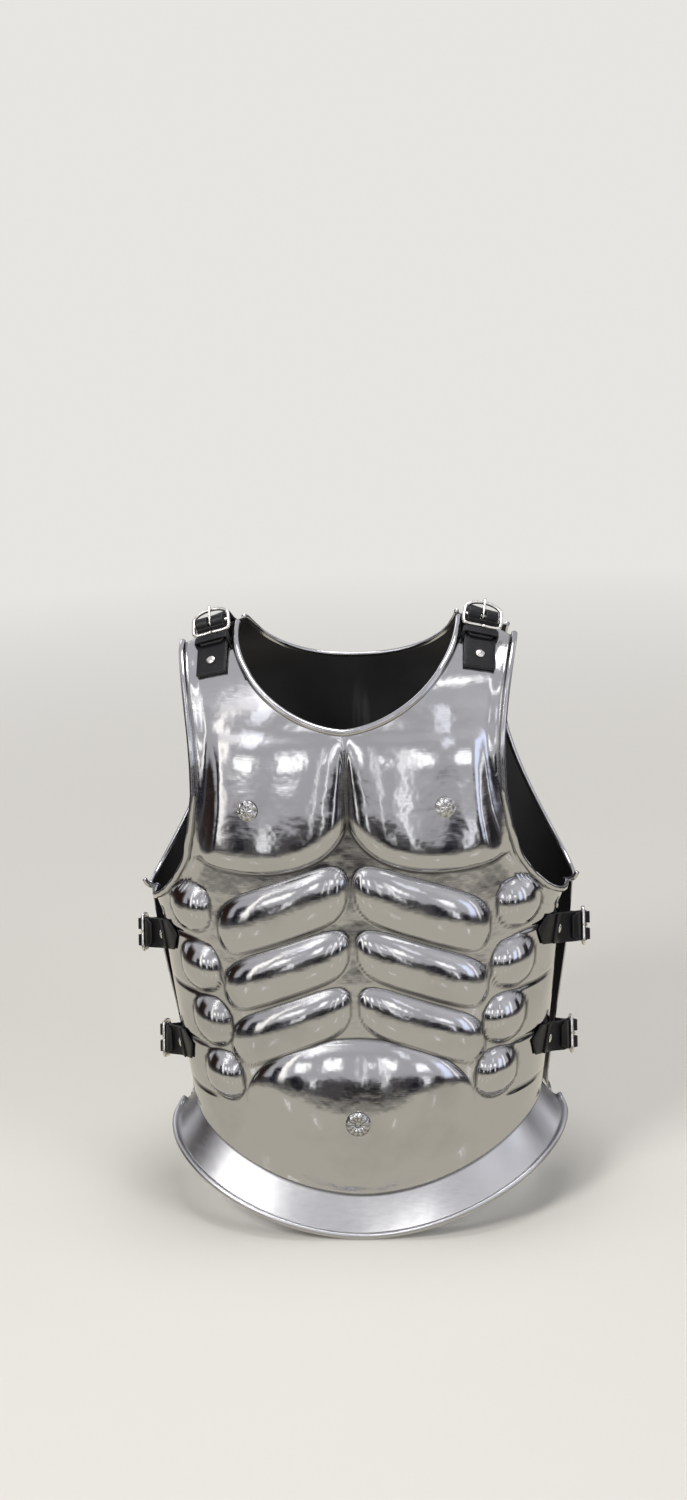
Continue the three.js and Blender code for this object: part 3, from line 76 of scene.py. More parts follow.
# %% Camera
CAMERA_PLACE = (0.2009, -2.3604, 0.6017)
CAMERA_RIGHT = (0.99615, 0.07552, -0.04445)
CAMERA_UP = (0.02071, 0.29004, 0.95679)
CAMERA_BACK = (0.08515, -0.95403, 0.28736)
PICTURE_LONG_SIDE = 1500
FOCAL_PIXELS = 2446
SENSOR = 36

camera_data = bpy.data.cameras.new("camera")
camera_data.sensor_width = SENSOR
camera_data.lens = FOCAL_PIXELS / PICTURE_LONG_SIDE * SENSOR
camera = bpy.data.objects.new("camera", camera_data)
bpy.context.scene.collection.objects.link(camera)
axes = Matrix((CAMERA_RIGHT, CAMERA_UP, CAMERA_BACK)).transposed().to_4x4()
camera.matrix_world = Matrix.Translation(CAMERA_PLACE) @ axes
bpy.context.scene.camera = camera
bpy.context.scene.view_settings.view_transform = "Standard"
print("lens", round(camera_data.lens, 2), "mm")

# %% [markdown]
# ## Small tools
# A mesh is made from whole numpy arrays: points in millimetres, faces of four corners, faces of three.
# Each face may name a material and each point may carry numbers, such as how deep in a crease it lies.
# A material later reads those numbers as attributes. Blender's own primitives and modifiers could build
# much of this, but a formula on a grid puts every point where it was worked out, the same on each run.

# %% Mesh maker
def make_mesh(name, points, quads=(), triangles=(), materials=(), quad_slots=None, marks=None):
    """Puts arrays of points (mm) and faces into a smooth mesh object at the origin."""
    points = np.asarray(points, float).reshape(-1, 3) * MM
    quads = np.asarray(quads, int).reshape(-1, 4)
    triangles = np.asarray(triangles, int).reshape(-1, 3)
    mesh = bpy.data.meshes.new(name)
    mesh.vertices.add(len(points))
    mesh.vertices.foreach_set("co", points.astype(np.float32).ravel())
    corners = np.concatenate([quads.ravel(), triangles.ravel()])
    starts = np.concatenate([
        np.arange(len(quads)) * 4,
        len(quads) * 4 + np.arange(len(triangles)) * 3,
    ])
    mesh.loops.add(len(corners))
    mesh.loops.foreach_set("vertex_index", corners.astype(np.int32))
    mesh.polygons.add(len(starts))
    mesh.polygons.foreach_set("loop_start", starts.astype(np.int32))
    if quad_slots is not None:
        slots = np.concatenate([quad_slots, np.zeros(len(triangles), int)])
        mesh.polygons.foreach_set("material_index", slots.astype(np.int32))
    mesh.polygons.foreach_set("use_smooth", np.ones(len(starts), bool))
    for key, values in (marks or {}).items():
        attribute = mesh.attributes.new(key, "FLOAT", "POINT")
        attribute.data.foreach_set("value", np.asarray(values, np.float32))
    mesh.update(calc_edges=True)
    mesh.validate()
    for material in materials:
        mesh.materials.append(material)
    piece = bpy.data.objects.new(name, mesh)
    bpy.context.scene.collection.objects.link(piece)
    return piece


def grid_quads(number, ring=False, loop=False):
    """Faces between the neighbouring rows and columns of a lattice of point numbers.
    ring joins the last column to the first one, and loop the last row to the first one."""
    if loop:
        number = np.vstack([number, number[:1]])
    if ring:
        number = np.hstack([number, number[:, :1]])
    return np.stack([number[:-1, :-1], number[:-1, 1:], number[1:, 1:], number[1:, :-1]], -1).reshape(-1, 4)


def end_fans(number, tip):
    """Triangles that close a tube: from point tip to its first ring and from tip + 1 to its last."""
    tips = np.full(number.shape[1], tip)
    return np.concatenate([
        np.stack([tips, np.roll(number[0], -1), number[0]], -1),
        np.stack([tips + 1, number[-1], np.roll(number[-1], -1)], -1),
    ])


def joined(*parts):
    """Several (points, quads, triangles) as one."""
    starts = np.cumsum([0] + [len(points) for points, quads, triangles in parts])
    shifts = ((0,) * len(parts), starts, starts)
    return tuple(np.concatenate([part[kind] + shift for part, shift in zip(parts, shifts[kind])])
                 for kind in range(3))


def settle(piece, body, slot, *nodes):
    """The piece rides on a body and stands for CAD nodes, which are hidden; slot is not used."""
    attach(piece, body)
    if nodes:
        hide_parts(*nodes)


print("a lattice of 4 by 3 points has", len(grid_quads(np.arange(12).reshape(4, 3))), "faces")


# %% Arithmetic
def unit(vectors):
    """Vectors divided by their lengths."""
    return vectors / np.maximum(np.linalg.norm(vectors, axis=-1, keepdims=True), 1e-9)


def clamp(t):
    """t kept between 0 and 1."""
    return np.clip(t, 0, 1)


def smooth(t):
    """The cubic 3 t^2 - 2 t^3, which leaves 0 and reaches 1 with no slope."""
    t = clamp(t)
    return t * t * (3 - 2 * t)


def mix(a, b, t):
    """a at t = 0 and b at t = 1."""
    return a + (b - a) * t


def blend_max(a, b, width):
    """The larger of two heights, rounded over a width where they meet."""
    return (a + b + np.sqrt((a - b) ** 2 + width ** 2) - width) / 2


def crowded_steps(count, crowding):
    """Shares up to 1 that crowd at both ends: t less a part of a sine's full turn."""
    t = np.arange(1, count + 1) / count
    return t - crowding * np.sin(2 * np.pi * t) / (2 * np.pi)


def catmull(points, counts, closed=False):
    """A centripetal Catmull-Rom line through points, counts[i] samples in stretch i.
    Each stretch is the cubic whose end slopes come from three neighbours, weighted by the square
    roots of the distances."""
    points = np.asarray(points, float)
    if closed:
        full = np.vstack([points[-1:], points, points[:2]])
    else:
        full = np.vstack([2 * points[:1] - points[1:2], points, 2 * points[-1:] - points[-2:-1]])
    line = []
    for index, count in enumerate(counts):
        a, b, c, d = full[index:index + 4]
        gaps = [max(np.linalg.norm(q - p) ** 0.5, 1e-4) for p, q in ((a, b), (b, c), (c, d))]
        first = ((b - a) / gaps[0] - (c - a) / (gaps[0] + gaps[1]) + (c - b) / gaps[1]) * gaps[1]
        second = ((c - b) / gaps[1] - (d - b) / (gaps[1] + gaps[2]) + (d - c) / gaps[2]) * gaps[1]
        t = (np.arange(count) / count)[:, None]
        line.append(b + first * t + (-3 * b + 3 * c - 2 * first - second) * t ** 2
                    + (2 * b - 2 * c + first + second) * t ** 3)
    if not closed:
        line.append(points[-1:])
    return np.vstack(line)


print("smooth rises through", [round(float(smooth(t)), 3) for t in (0.1, 0.3, 0.5, 0.7, 0.9)])


# %% [markdown]
# ## Shader tools
# Nodes could be placed and linked one by one, but shader maths reads best as ordinary sums. One small
# class wraps a socket, so that `1 - mask * 0.5` adds the Math nodes by itself. Every other node comes
# from one method.

# %% Socket class
class Socket:
    """A shader socket that can be added, multiplied and compared like a number."""

    def __init__(self, tree, socket):
        self.tree, self.socket = tree, socket

    def math(self, operation, *values):
        node = self.tree.nodes.new("ShaderNodeMath")
        node.operation = operation
        for index, value in enumerate(values):
            plug(self.tree, node.inputs[index], value)
        return Socket(self.tree, node.outputs[0])

    def __add__(self, other): return self.math("ADD", self, other)
    def __radd__(self, other): return self.math("ADD", other, self)
    def __sub__(self, other): return self.math("SUBTRACT", self, other)
    def __rsub__(self, other): return self.math("SUBTRACT", other, self)
    def __mul__(self, other): return self.math("MULTIPLY", self, other)
    def __rmul__(self, other): return self.math("MULTIPLY", other, self)

    def between(self, low, high):
        """0 below low, 1 above high and a straight rise between."""
        node = self.tree.nodes.new("ShaderNodeMapRange")
        plug(self.tree, node.inputs["Value"], self)
        node.inputs["From Min"].default_value = low
        node.inputs["From Max"].default_value = high
        return Socket(self.tree, node.outputs[0])


def plug(tree, target, value):
    """Links a wrapped socket to an input, or sets the input's own value."""
    if isinstance(value, Socket):
        tree.links.new(value.socket, target)
    else:
        target.default_value = value


class Shader:
    """A new material with one Principled node, whose sockets take numbers or wrapped sockets."""

    def __init__(self, name, **fixed):
        self.material = bpy.data.materials.new(name)
        self.material.use_nodes = True
        self.tree = self.material.node_tree
        self.principled = self.tree.nodes["Principled BSDF"]
        self.place = self.node("ShaderNodeTexCoord", out="Object")
        self.set(**fixed)

    def node(self, kind, settings=None, out=0, **inputs):
        """A node of any kind: its settings first, then its sockets by name or as in_0, in_1."""
        node = self.tree.nodes.new(kind)
        for key, value in (settings or {}).items():
            setattr(node, key, value)
        for key, value in inputs.items():
            key = int(key[3:]) if key.startswith("in_") else key.replace("_", " ")
            plug(self.tree, node.inputs[key], value)
        return Socket(self.tree, node.outputs[out])

    def set(self, **inputs):
        for key, value in inputs.items():
            plug(self.tree, self.principled.inputs[key.replace("_", " ")], value)

    def noise(self, scale, detail=3.0, roughness=0.5, stretch=None):
        """Noise from 0 to 1 on Object coordinates; stretch scales X, Y and Z apart."""
        place = self.place
        if stretch:
            place = self.node("ShaderNodeMapping", in_0=place, Scale=stretch)
        return self.node("ShaderNodeTexNoise", Vector=place, Scale=scale, Detail=detail, Roughness=roughness)

    def mark(self, name):
        """A number that the mesh carries at its points."""
        return self.node("ShaderNodeAttribute", {"attribute_name": name}, out="Fac")

    def tint(self, mask, low, high):
        """A colour between two, by a mask."""
        return self.node("ShaderNodeMix", {"data_type": "RGBA"}, out=2, in_0=mask,
                         in_6=(*low, 1), in_7=(*high, 1))

    def bump(self, height, depth_mm):
        """A bump of so many millimetres, on the Normal socket; a second call adds to the first."""
        before = self.principled.inputs["Normal"].links
        inputs = {"Height": height, "Distance": depth_mm * MM}
        if before:
            inputs["Normal"] = Socket(self.tree, before[0].from_socket)
        self.set(Normal=self.node("ShaderNodeBump", **inputs))


print("a wrapped socket can be added, subtracted and multiplied")

# %% [markdown]
# ## Finishes
# Polished sheet steel is a mirror with faults: the hammer and the wheel leave it slightly wavy, and fine
# scratches run along it. The creases are painted darker, as painted shade. Otherwise the colour hardly
# varies; roughness and bump do the work. The insides are brushed over with black paint. An image could
# give all this too, but it would have to be laid out flat and would show its pixels close up. Noise on the
# object's own coordinates has no seam and stays sharp.

# %% Steel, paint and plating
def steel_finish(name, colour, dark, roughness, wave_mm):
    """Polished steel. The attribute crease paints shade into the grooves, towards the colour dark, and dulls them;
    random stains tint towards dark too.
    """
    steel = Shader(name, Metallic=1.0)
    clouds = steel.noise(9.0, 4.0, 0.55)
    grain = steel.noise(90.0, 2.0, 0.5, stretch=(1.0, 1.0, 9.0))
    crease = steel.mark("crease")
    # Painted shade: the crease mark darkens the grooves, mottled by the clouds; stain is random staining.
    crease_shade = (crease * (0.55 + clouds * 0.9)).between(0.0, 1.0)
    stain = clouds.between(0.52, 0.78) * 0.22
    steel.set(
        Base_Color=steel.tint((crease_shade * 0.85 + stain).between(0.0, 1.0), colour, dark),
        Roughness=roughness + crease_shade * 0.2 + grain.between(0.35, 0.75) * 0.05 + stain * 0.2,
    )
    steel.bump(steel.noise(15.0, 1.5, 0.4), wave_mm)
    steel.bump(steel.noise(48.0, 2.0, 0.5), wave_mm * 0.22)
    steel.bump(grain, wave_mm * 0.008)
    return steel.material


# The second colour of each steel is that of the painted shade in its creases and of its stains.
front_steel = steel_finish("polished_steel", (0.53, 0.53, 0.545), (0.055, 0.052, 0.049), 0.09, 2.1)
flange_steel = steel_finish("flange_steel", (0.50, 0.50, 0.515), (0.10, 0.097, 0.093), 0.29, 1.1)
back_steel = steel_finish("backplate_steel", (0.50, 0.505, 0.52), (0.10, 0.097, 0.093), 0.14, 1.0)

paint = Shader("black_paint", Metallic=0.0)
drips = paint.noise(14.0, 4.0, 0.6)
paint.set(
    Base_Color=paint.tint(drips, (0.006, 0.006, 0.007), (0.022, 0.022, 0.024)),
    Roughness=0.34 + drips * 0.25,
)
paint.bump(paint.noise(60.0, 3.0, 0.5, stretch=(1.0, 1.0, 0.3)), 0.25)
lining = paint.material

plating = Shader("nickel_plating", Metallic=1.0)
rub = plating.noise(260.0, 3.0, 0.6)
plating.set(
    Base_Color=plating.tint(rub.between(0.45, 0.75), (0.78, 0.765, 0.73), (0.52, 0.50, 0.46)),
    Roughness=0.16 + rub * 0.16,
)
plating.bump(plating.noise(500.0, 2.0), 0.02)
nickel = plating.material

pressed = Shader("stud_steel", Metallic=1.0)
soil = pressed.noise(180.0, 3.0, 0.6)
# Painted shade: the crease mark darkens the valleys of the pressed folds; soil is random dirt.
stud_shade = pressed.mark("crease")
pressed.set(
    Base_Color=pressed.tint((soil.between(0.4, 0.8) * 0.4 + stud_shade * 0.6).between(0.0, 1.0),
                            (0.62, 0.62, 0.625), (0.11, 0.105, 0.10)),
    Roughness=0.13 + soil * 0.12 + stud_shade * 0.2,
)
pressed.bump(soil, 0.05)
stud_steel = pressed.material
print("finishes:", ", ".join(material.name for material in bpy.data.materials))

# %% [markdown]
# The leather is dyed black and pressed smooth: a fine pebble grain, a few long wrinkles across the
# strap, a soft shine, and cut edges where the dye has rubbed grey. The grain is a cell pattern and the
# wrinkles are stretched noise along the strap. The strap bends, so the mesh says how far along it and
# across it each point lies, and the wrinkles follow the bend as they couldn't on plain coordinates.

# %% Leather
hide = Shader("black_leather", Metallic=0.0, Specular_IOR_Level=0.26)
cells = hide.node("ShaderNodeTexVoronoi", {"feature": "SMOOTH_F1"}, out="Distance",
                  Vector=hide.place, Scale=900.0, Smoothness=0.6)
patches = hide.noise(70.0, 4.0, 0.6)
edge = hide.mark("edge")
run = hide.mark("run")
across = hide.mark("across")
strip_place = hide.node("ShaderNodeCombineXYZ", X=run, Y=across * 0.12, Z=0.0)
wrinkles = hide.node("ShaderNodeTexNoise", Vector=strip_place, Scale=420.0, Detail=2.0, Roughness=0.5)
rubbed = (edge * (0.35 + patches)).between(0.35, 0.95)
hide.set(
    Base_Color=hide.tint((rubbed * 0.8 + patches.between(0.55, 0.85) * 0.25).between(0.0, 1.0),
                         (0.0035, 0.0038, 0.0052), (0.032, 0.031, 0.031)),
    Roughness=0.34 + patches * 0.22 + rubbed * 0.2,
)
hide.bump(cells, 0.10)
hide.bump(wrinkles, 0.22)
leather = hide.material
print(len(bpy.data.materials), "materials")

# %% [markdown]
# ## The body form
# Both plates lie on one form. Seen from above it is a superellipse, wider at the chest than at the hip.
# Seen from the side it stands upright and turns in over the shoulders along a quarter of a sine. A point
# is found from an angle round the body and a height, which is unrolled over the shoulder curve. A box
# could be subdivided and pulled into this shape, but then the two plates and the straps on them would
# each be fitted by eye. With one formula they fit by themselves.

# %% Body form
FRONT, BACK = -1, 1
chest_half_width, hip_half_width = 207, 183
side_edge_y, back_edge_setback = 15, 4
chest_depth, belly_depth, back_depth, loin_depth = 120, 136, 108, 84
armpit_drop, hip_drop, belly_drop, hem_drop = 254, 478, 550, 545
spring_drop, shoulder_rise, strap_line_x, shoulder_slope = 100, 118, 131, 0.28
section_power, waist_taper_power = 2.5, 1.25
back_edge_step, back_armpit_step = 6, 12
back_hem_drop, hem_flare, hem_flare_height = 494, 10, 46
belly_dome_drop = 458
sheet = 1.5
roll_radius = {FRONT: 3.2, BACK: 2.4}


def rise_at(x):
    """Height of the shoulder curve over x: it falls evenly outwards."""
    return shoulder_rise - shoulder_slope * (np.abs(x) - strap_line_x)


def height_to_z(x, height):
    """Below the spring line z is the height; above it the rise times the sine of the way along."""
    rise = rise_at(x)
    curved = -spring_drop + rise * np.sin(np.minimum((height + spring_drop) / rise, np.pi / 2))
    return np.where(height <= -spring_drop, height, curved)


def z_to_height(x, z):
    """The reverse of height_to_z."""
    rise = rise_at(x)
    curved = -spring_drop + rise * np.arcsin(np.clip((z + spring_drop) / rise, 0, 1))
    return np.where(z <= -spring_drop, z, curved)


def half_width(z, side):
    """Half width of a plate at a level: chest to hip by a power, and a step more for the backplate."""
    fall = clamp((-armpit_drop - z) / (hip_drop - armpit_drop))
    width = mix(chest_half_width, hip_half_width, fall ** waist_taper_power)
    if side == FRONT:
        return width
    high = smooth((z + belly_dome_drop) / (belly_dome_drop - armpit_drop))
    return width + mix(back_edge_step, back_armpit_step, high)


def depth(z, side):
    """Depth of a plate at a level, with the loins hollowed and the hem flared at the back."""
    if side == FRONT:
        return mix(chest_depth, belly_depth, smooth((-spring_drop - z) / (belly_drop - spring_drop)))
    hollow = smooth((-armpit_drop / 2 - z) / (hip_drop - armpit_drop))
    hem = smooth((hem_flare_height - back_hem_drop - z) / hem_flare_height)
    return mix(back_depth, loin_depth, hollow) + hem_flare * hem


def edge_y(side):
    return side_edge_y + (back_edge_setback if side == BACK else 0)


def depth_share(angle):
    return np.maximum(0, np.cos(angle)) ** (2 / section_power)


def angle_of(share):
    """The angle at which the section reaches a share of the half width."""
    return np.arcsin(clamp(np.abs(share)) ** (section_power / 2)) * np.sign(share)


def body_point(angle, height, side):
    """x = half width times sin^(2/power), y = depth times cos^(2/power) times the shoulder's cosine."""
    widest = half_width(np.minimum(height, -spring_drop), side)
    x = np.sign(angle) * np.abs(np.sin(angle)) ** (2 / section_power) * widest
    z = height_to_z(x, height)
    lift = np.where(height > -spring_drop, np.cos((height + spring_drop) / rise_at(x)), 1)
    y = edge_y(side) + side * depth(z, side) * depth_share(angle) * np.maximum(lift, 0)
    return np.stack(np.broadcast_arrays(x, y, z), -1)


def slope_normal(make, angle, height, side, step=0.003):
    """The outward normal of a surface: the cross product of two small differences."""
    reach = step * chest_half_width
    across = make(angle + step, height, side) - make(angle - step, height, side)
    upward = make(angle, height + reach, side) - make(angle, height - reach, side)
    return unit(np.cross(across, upward)) * -side


print("front form", [round(2 * float(half_width(-drop, FRONT))) for drop in (armpit_drop, hip_drop)],
      "mm wide at the armpits and the hips")

# %% [markdown]
# ## Embossing
# Each muscle is a pillow: full height in its middle, nothing outside a superellipse, and steep at its
# edge. Where two pillows meet, the larger wins, and the join is rounded over a few millimetres, because
# sheet steel can't be folded to a knife edge with a hammer. A smith drives such muscles out from inside.
# A sculpting brush could copy that, but here one number moves or raises a muscle, and both halves stay
# alike.

# %% Embossing
pec_height, ab_height, side_bump_height, belly_height = 23.5, 12.5, 14, 21
rim_flare, rim_width = 3, 13
pec_x, pec_drop, pec_inner, pec_outer, pec_below, pec_above, pec_power = 94, 140, 95, 99, 66, 104, 2.2
pec_lean_run, pec_lean_start, pec_lean_power, pec_round, pec_edge = 158, 40, 1.3, 7, 0.52
pec_beside_share, pec_beside_run = 0.45, 26  # the height left beside the armhole, and the way to the whole
groove_half, groove_depth, groove_top, groove_foot, groove_fade_top, groove_fade_foot = 5, 2.4, 46, 168, 14, 26
furrow, abs_outer, abs_slope, crease_half = 3, 137, 0.36, 1.2
ab_long_power, ab_short_power, ab_edge = 5.5, 2.3, 0.56
abs_crease_shares = (0.673, 0.5655, 0.459, 0.339)
side_bump_x_shares = (0.797, 0.775, 0.748, 0.724)
side_bump_drop_shares = (0.451, 0.5636, 0.667, 0.771)
side_bump_half_width, side_bump_half_height, side_bump_power, side_bump_edge = 23, 27, 2.2, 0.75
side_crease_shares = (0.82, 0.72, 0.6164, 0.5073, 0.402)
side_crease_depth, side_crease_half = 1.4, 5
belly_dome_rise, belly_dome_fall, belly_dome_half = 82, 90, 130
belly_soft_edge, belly_firm_edge, belly_edge_run, belly_edge_start = 1.25, 0.6, 70, 0.35
blade_height, blade_x, blade_drop, blade_half_width, blade_half_height = 9, 78, 165, 66, 88
loin_height, loin_x, loin_drop, loin_half_width, loin_half_height = 6, 44, 370, 36, 108
spine_half, spine_depth, neck_drop, blade_edge = 9, 6, 58, 1.2
armhole_x, armhole_turn_drop, armhole_power = 153, 110, 2.6
tongue_flare, tongue_flare_rise, tongue_corner = 15, 118, 10
soft_edge, soft_join = 0.7, 1.0


def roll_inset(radius):
    return math.sqrt(radius ** 2 - (radius - sheet) ** 2)


def roll_reach(side):
    return roll_inset(roll_radius[side]) + roll_radius[side]


def pillow(a, b, power, edge):
    """(1 - (|a|^power + |b|^power))^edge inside the outline and 0 outside; a steeper edge for a lower power."""
    reach = np.abs(a) ** power + np.abs(b) ** power
    return np.maximum(0, 1 - reach) ** edge


def rounded(height):
    """A height whose start is a small fillet instead of a corner."""
    return np.sqrt(height ** 2 + soft_edge ** 2) - soft_edge


def abs_crease(row, x):
    return -abs_crease_shares[row] * belly_drop - abs_slope * x


def front_relief(x, z):
    """Chest, stomach blocks, side bumps and belly, and the flared rim beside the armhole.
    The chest leans out: its height is 1 - (1 - way down)^1.3, so it slopes less and less from the neck
    down, and it falls off just before its outline, nearly as the square root of 1 - ring^7."""
    x = np.abs(x)
    wide = x * chest_half_width / half_width(z, FRONT)
    up = z + pec_drop
    a = np.abs((wide - pec_x) / np.where(wide < pec_x, pec_inner, pec_outer))
    b = np.maximum(0, -up / pec_below)
    ring = (a ** pec_power + b ** pec_power) ** (1 / pec_power)
    near_armhole = armhole_distance(x, z)
    down = np.maximum(0, pec_above - up)
    leaning = (1 - (1 - clamp(down / pec_lean_run)) ** pec_lean_power) * smooth(down / pec_lean_start)
    leaning = leaning * mix(pec_beside_share, 1, smooth(near_armhole / pec_beside_run))
    forms = rounded(pec_height * leaning * np.maximum(0, 1 - ring ** pec_round) ** pec_edge)
    between = smooth((-groove_top - z) / groove_fade_top) * smooth((z + groove_foot) / groove_fade_foot)
    forms = forms - groove_depth * smooth(1 - wide / groove_half) * between
    for row in range(3):
        low, high = abs_crease(row, wide) + crease_half, abs_crease(row + 1, wide) - crease_half
        a = (wide - (abs_outer + furrow) / 2) / ((abs_outer - furrow) / 2)
        b = (z - (low + high) / 2) / ((high - low) / 2)
        block = np.maximum(0, 1 - np.abs(a) ** ab_long_power - np.abs(b) ** ab_short_power) ** ab_edge
        forms = blend_max(forms, rounded(ab_height * block), soft_join)
    for x_share, drop_share in zip(side_bump_x_shares, side_bump_drop_shares):
        a = (wide - x_share * chest_half_width) / side_bump_half_width
        b = (z + drop_share * belly_drop) / side_bump_half_height
        bump = pillow(a, b, side_bump_power, side_bump_edge)
        forms = blend_max(forms, rounded(side_bump_height * bump), soft_join)
    up = z + belly_dome_drop
    edge = mix(belly_soft_edge, belly_firm_edge, smooth(up / belly_edge_run + belly_edge_start))
    dome = pillow(wide / belly_dome_half, up / np.where(up > 0, belly_dome_rise, belly_dome_fall), 2, edge)
    forms = blend_max(forms, rounded(belly_height * dome), soft_join)
    lines = np.max([smooth(1 - np.abs(z + share * belly_drop) / side_crease_half)
                    for share in side_crease_shares], axis=0)
    beside = smooth((wide - armhole_x) / side_bump_half_width) * smooth((chest_half_width - wide) / rim_width)
    creases = side_crease_depth * lines * beside * smooth(1 - forms / 2)
    return forms - creases + rim_flare * smooth(1 - near_armhole / rim_width)


def back_relief(x, z):
    """Shoulder blades and loins, low and soft, and the hollow of the spine."""
    wide = np.abs(x)
    blade = blade_height * pillow((wide - blade_x) / blade_half_width, (z + blade_drop) / blade_half_height,
                                  2, blade_edge)
    loin = loin_height * pillow((wide - loin_x) / loin_half_width, (z + loin_drop) / loin_half_height, 2, 1)
    spine = smooth(1 - wide / spine_half) * smooth((-z - neck_drop) / neck_drop)
    return blend_max(blade, loin, soft_join) - spine_depth * spine * smooth((z + back_hem_drop) / hem_flare_height)


print("a pillow's height, going out:", [round(float(pillow(a, 0, 2.2, 0.75)), 2) for a in (0, 0.3, 0.6, 0.9)])


# %% Outlines
armhole_drops = {FRONT: armhole_turn_drop, BACK: 90}
armhole_narrow = {FRONT: armhole_x - roll_reach(FRONT), BACK: 150 - roll_reach(BACK)}
armhole_powers = {FRONT: armhole_power, BACK: 1.55}
necks = {FRONT: (107, 25, neck_drop, 1.66), BACK: (105, 30, 38, 2.2)}  # half width, top, drop, power
neck_joins = {FRONT: 14, BACK: 4}
tongue_ends = {FRONT: 0, BACK: 34}


def armhole_low_z(x, side):
    """Lower part of the armhole: from its narrowest place down to the armpit by a power."""
    widest = half_width(-armpit_drop, side)
    run = clamp((x - armhole_narrow[side]) / (widest - armhole_narrow[side]))
    return mix(-armhole_drops[side], -armpit_drop - roll_reach(side), run ** (1 / armhole_powers[side]))


def armhole_high_x(z, side):
    """Upper part of the armhole: a parabola out to the end of the tongue."""
    up = np.maximum(0, z + armhole_drops[side]) / tongue_flare_rise
    return armhole_narrow[side] + tongue_flare * up ** 2


def neck_x(z, side):
    """Half width of the neckline at a level, on a superellipse."""
    half, top, drop, power = necks[side]
    down = clamp((top - z) / (top + drop + roll_reach(side)))
    return (half + roll_reach(side)) * (1 - down ** power) ** (1 / power)


def neck_z(x, side):
    half, top, drop, power = necks[side]
    across = clamp(x / (half + roll_reach(side)))
    return top - (top + drop + roll_reach(side)) * (1 - across ** power) ** (1 / power)


steps = np.linspace(0, 1, 60)
low_x = mix(armhole_narrow[FRONT], chest_half_width, steps ** armhole_power)
high_z = mix(-armhole_turn_drop, 0, steps)
armhole_line = np.vstack([
    np.column_stack([low_x, armhole_low_z(low_x, FRONT)]),
    np.column_stack([armhole_high_x(high_z, FRONT), high_z]),
])


def armhole_distance(x, z):
    """Distance in the front view to the nearest point of the armhole's line."""
    nearest = np.full(np.broadcast(x, z).shape, 1e9)
    for line_x, line_z in armhole_line:
        nearest = np.minimum(nearest, np.hypot(x - line_x, z - line_z))
    return nearest


relief_of = {FRONT: front_relief, BACK: back_relief}


def surface(angle, height, side):
    """The outer face of a plate: the body form moved out along its normal by the embossing."""
    base = body_point(angle, height, side)
    relief = relief_of[side](base[..., 0], base[..., 2])
    return base + slope_normal(body_point, angle, height, side) * relief[..., None]


print("armhole line of", len(armhole_line), "points")
print("the chest stands out", round(float(front_relief(float(pec_x), float(-pec_drop))), 1), "mm")

# %% [markdown]
# ## Plates
# A plate is a lattice of columns and rows. The columns stand at shares of the half width and crowd towards
# the side, where the surface turns away. The rows follow the creases between the muscles, then the
# neckline, then the ends of the shoulder tongues, so that each crease lies along a grid line and stays
# crisp. Where a plate has no metal, the lattice has no point. Half of it is worked out and then mirrored.
# Armholes and neck could be cut out of a whole sheet, as a smith would, but a cut through a mesh leaves
# long thin faces at the edge, and a mirror finish shows each of them.

# %% Guide lines
junction_power = 1.8
armpit_narrowing = 0.6  # the rows under the armhole draw together towards the armpit
dome_end_share = 0.96  # the row over the belly's dome stops short of its steep end


def bump_side(x, stomach, drop):
    """Rows turn from the stomach's creases to those between the side bumps over the last block's end."""
    step = smooth((x - abs_outer) / (armhole_x - abs_outer) + 0.5)
    return mix(stomach, -drop * belly_drop, step)


def junction_z(x):
    """The breastplate's lower edge, where the flange starts."""
    return mix(-hem_drop, -hip_drop, clamp(x / chest_half_width) ** junction_power)


def dome_top_z(x):
    along = np.minimum(x / belly_dome_half, dome_end_share)
    return -belly_dome_drop + belly_dome_rise * np.sqrt(1 - along ** 2)


def pec_low_z(x):
    """The fold under the chest, on the pillow's own superellipse."""
    along = clamp(np.abs(x - pec_x) / np.where(x < pec_x, pec_inner, pec_outer))
    return -pec_drop - pec_below * (1 - along ** pec_power) ** (1 / pec_power)


def armhole_row(x, side, middle_drop):
    narrow = armhole_narrow[side]
    flat = mix(-middle_drop, -armhole_drops[side], (x / narrow) ** 2)
    return np.where(x > narrow, armhole_low_z(x, side), flat)


def under_armhole(x, share):
    outward = (x - armhole_x) / (chest_half_width - armhole_x)
    return armhole_low_z(x, FRONT) - share * rim_width * (1 - armpit_narrowing * outward)


front_guides = [
    (junction_z, 0),
    (lambda x: bump_side(x, dome_top_z(x), side_crease_shares[0]), 34),
    (lambda x: bump_side(x, (abs_crease(0, x) + abs_crease(1, x)) / 2, side_crease_shares[1]), 20),
    (lambda x: bump_side(x, abs_crease(1, x), side_crease_shares[2]), 20),
    (lambda x: bump_side(x, abs_crease(2, x), side_crease_shares[3]), 24),
    (lambda x: np.minimum(bump_side(x, abs_crease(3, x), side_crease_shares[4]), under_armhole(x, 2)), 26),
    (lambda x: np.minimum(pec_low_z(x), under_armhole(x, 1)), 8),
    (lambda x: armhole_row(x, FRONT, pec_drop), 30),
]
back_guides = [
    (lambda x: np.full_like(x, -back_hem_drop), 0),
    (lambda x: np.full_like(x, hem_flare_height - back_hem_drop), 14),
    (lambda x: mix(-loin_drop, -armpit_drop - rim_width,
                   smooth((x - armhole_x) / (chest_half_width - armhole_x))), 26),
    (lambda x: armhole_row(x, BACK, blade_drop), 44),
]
print(len(front_guides), "guide lines in front and", len(back_guides), "behind")


# %% Lattice
neck_share = 0.5  # share of the half width that the columns under the neckline take
armhole_margin = 0.3
side_crowding, row_crowding = 2.3, 0.55
crease_reach, crease_start, crease_full = 2.6, 0.1, 0.45


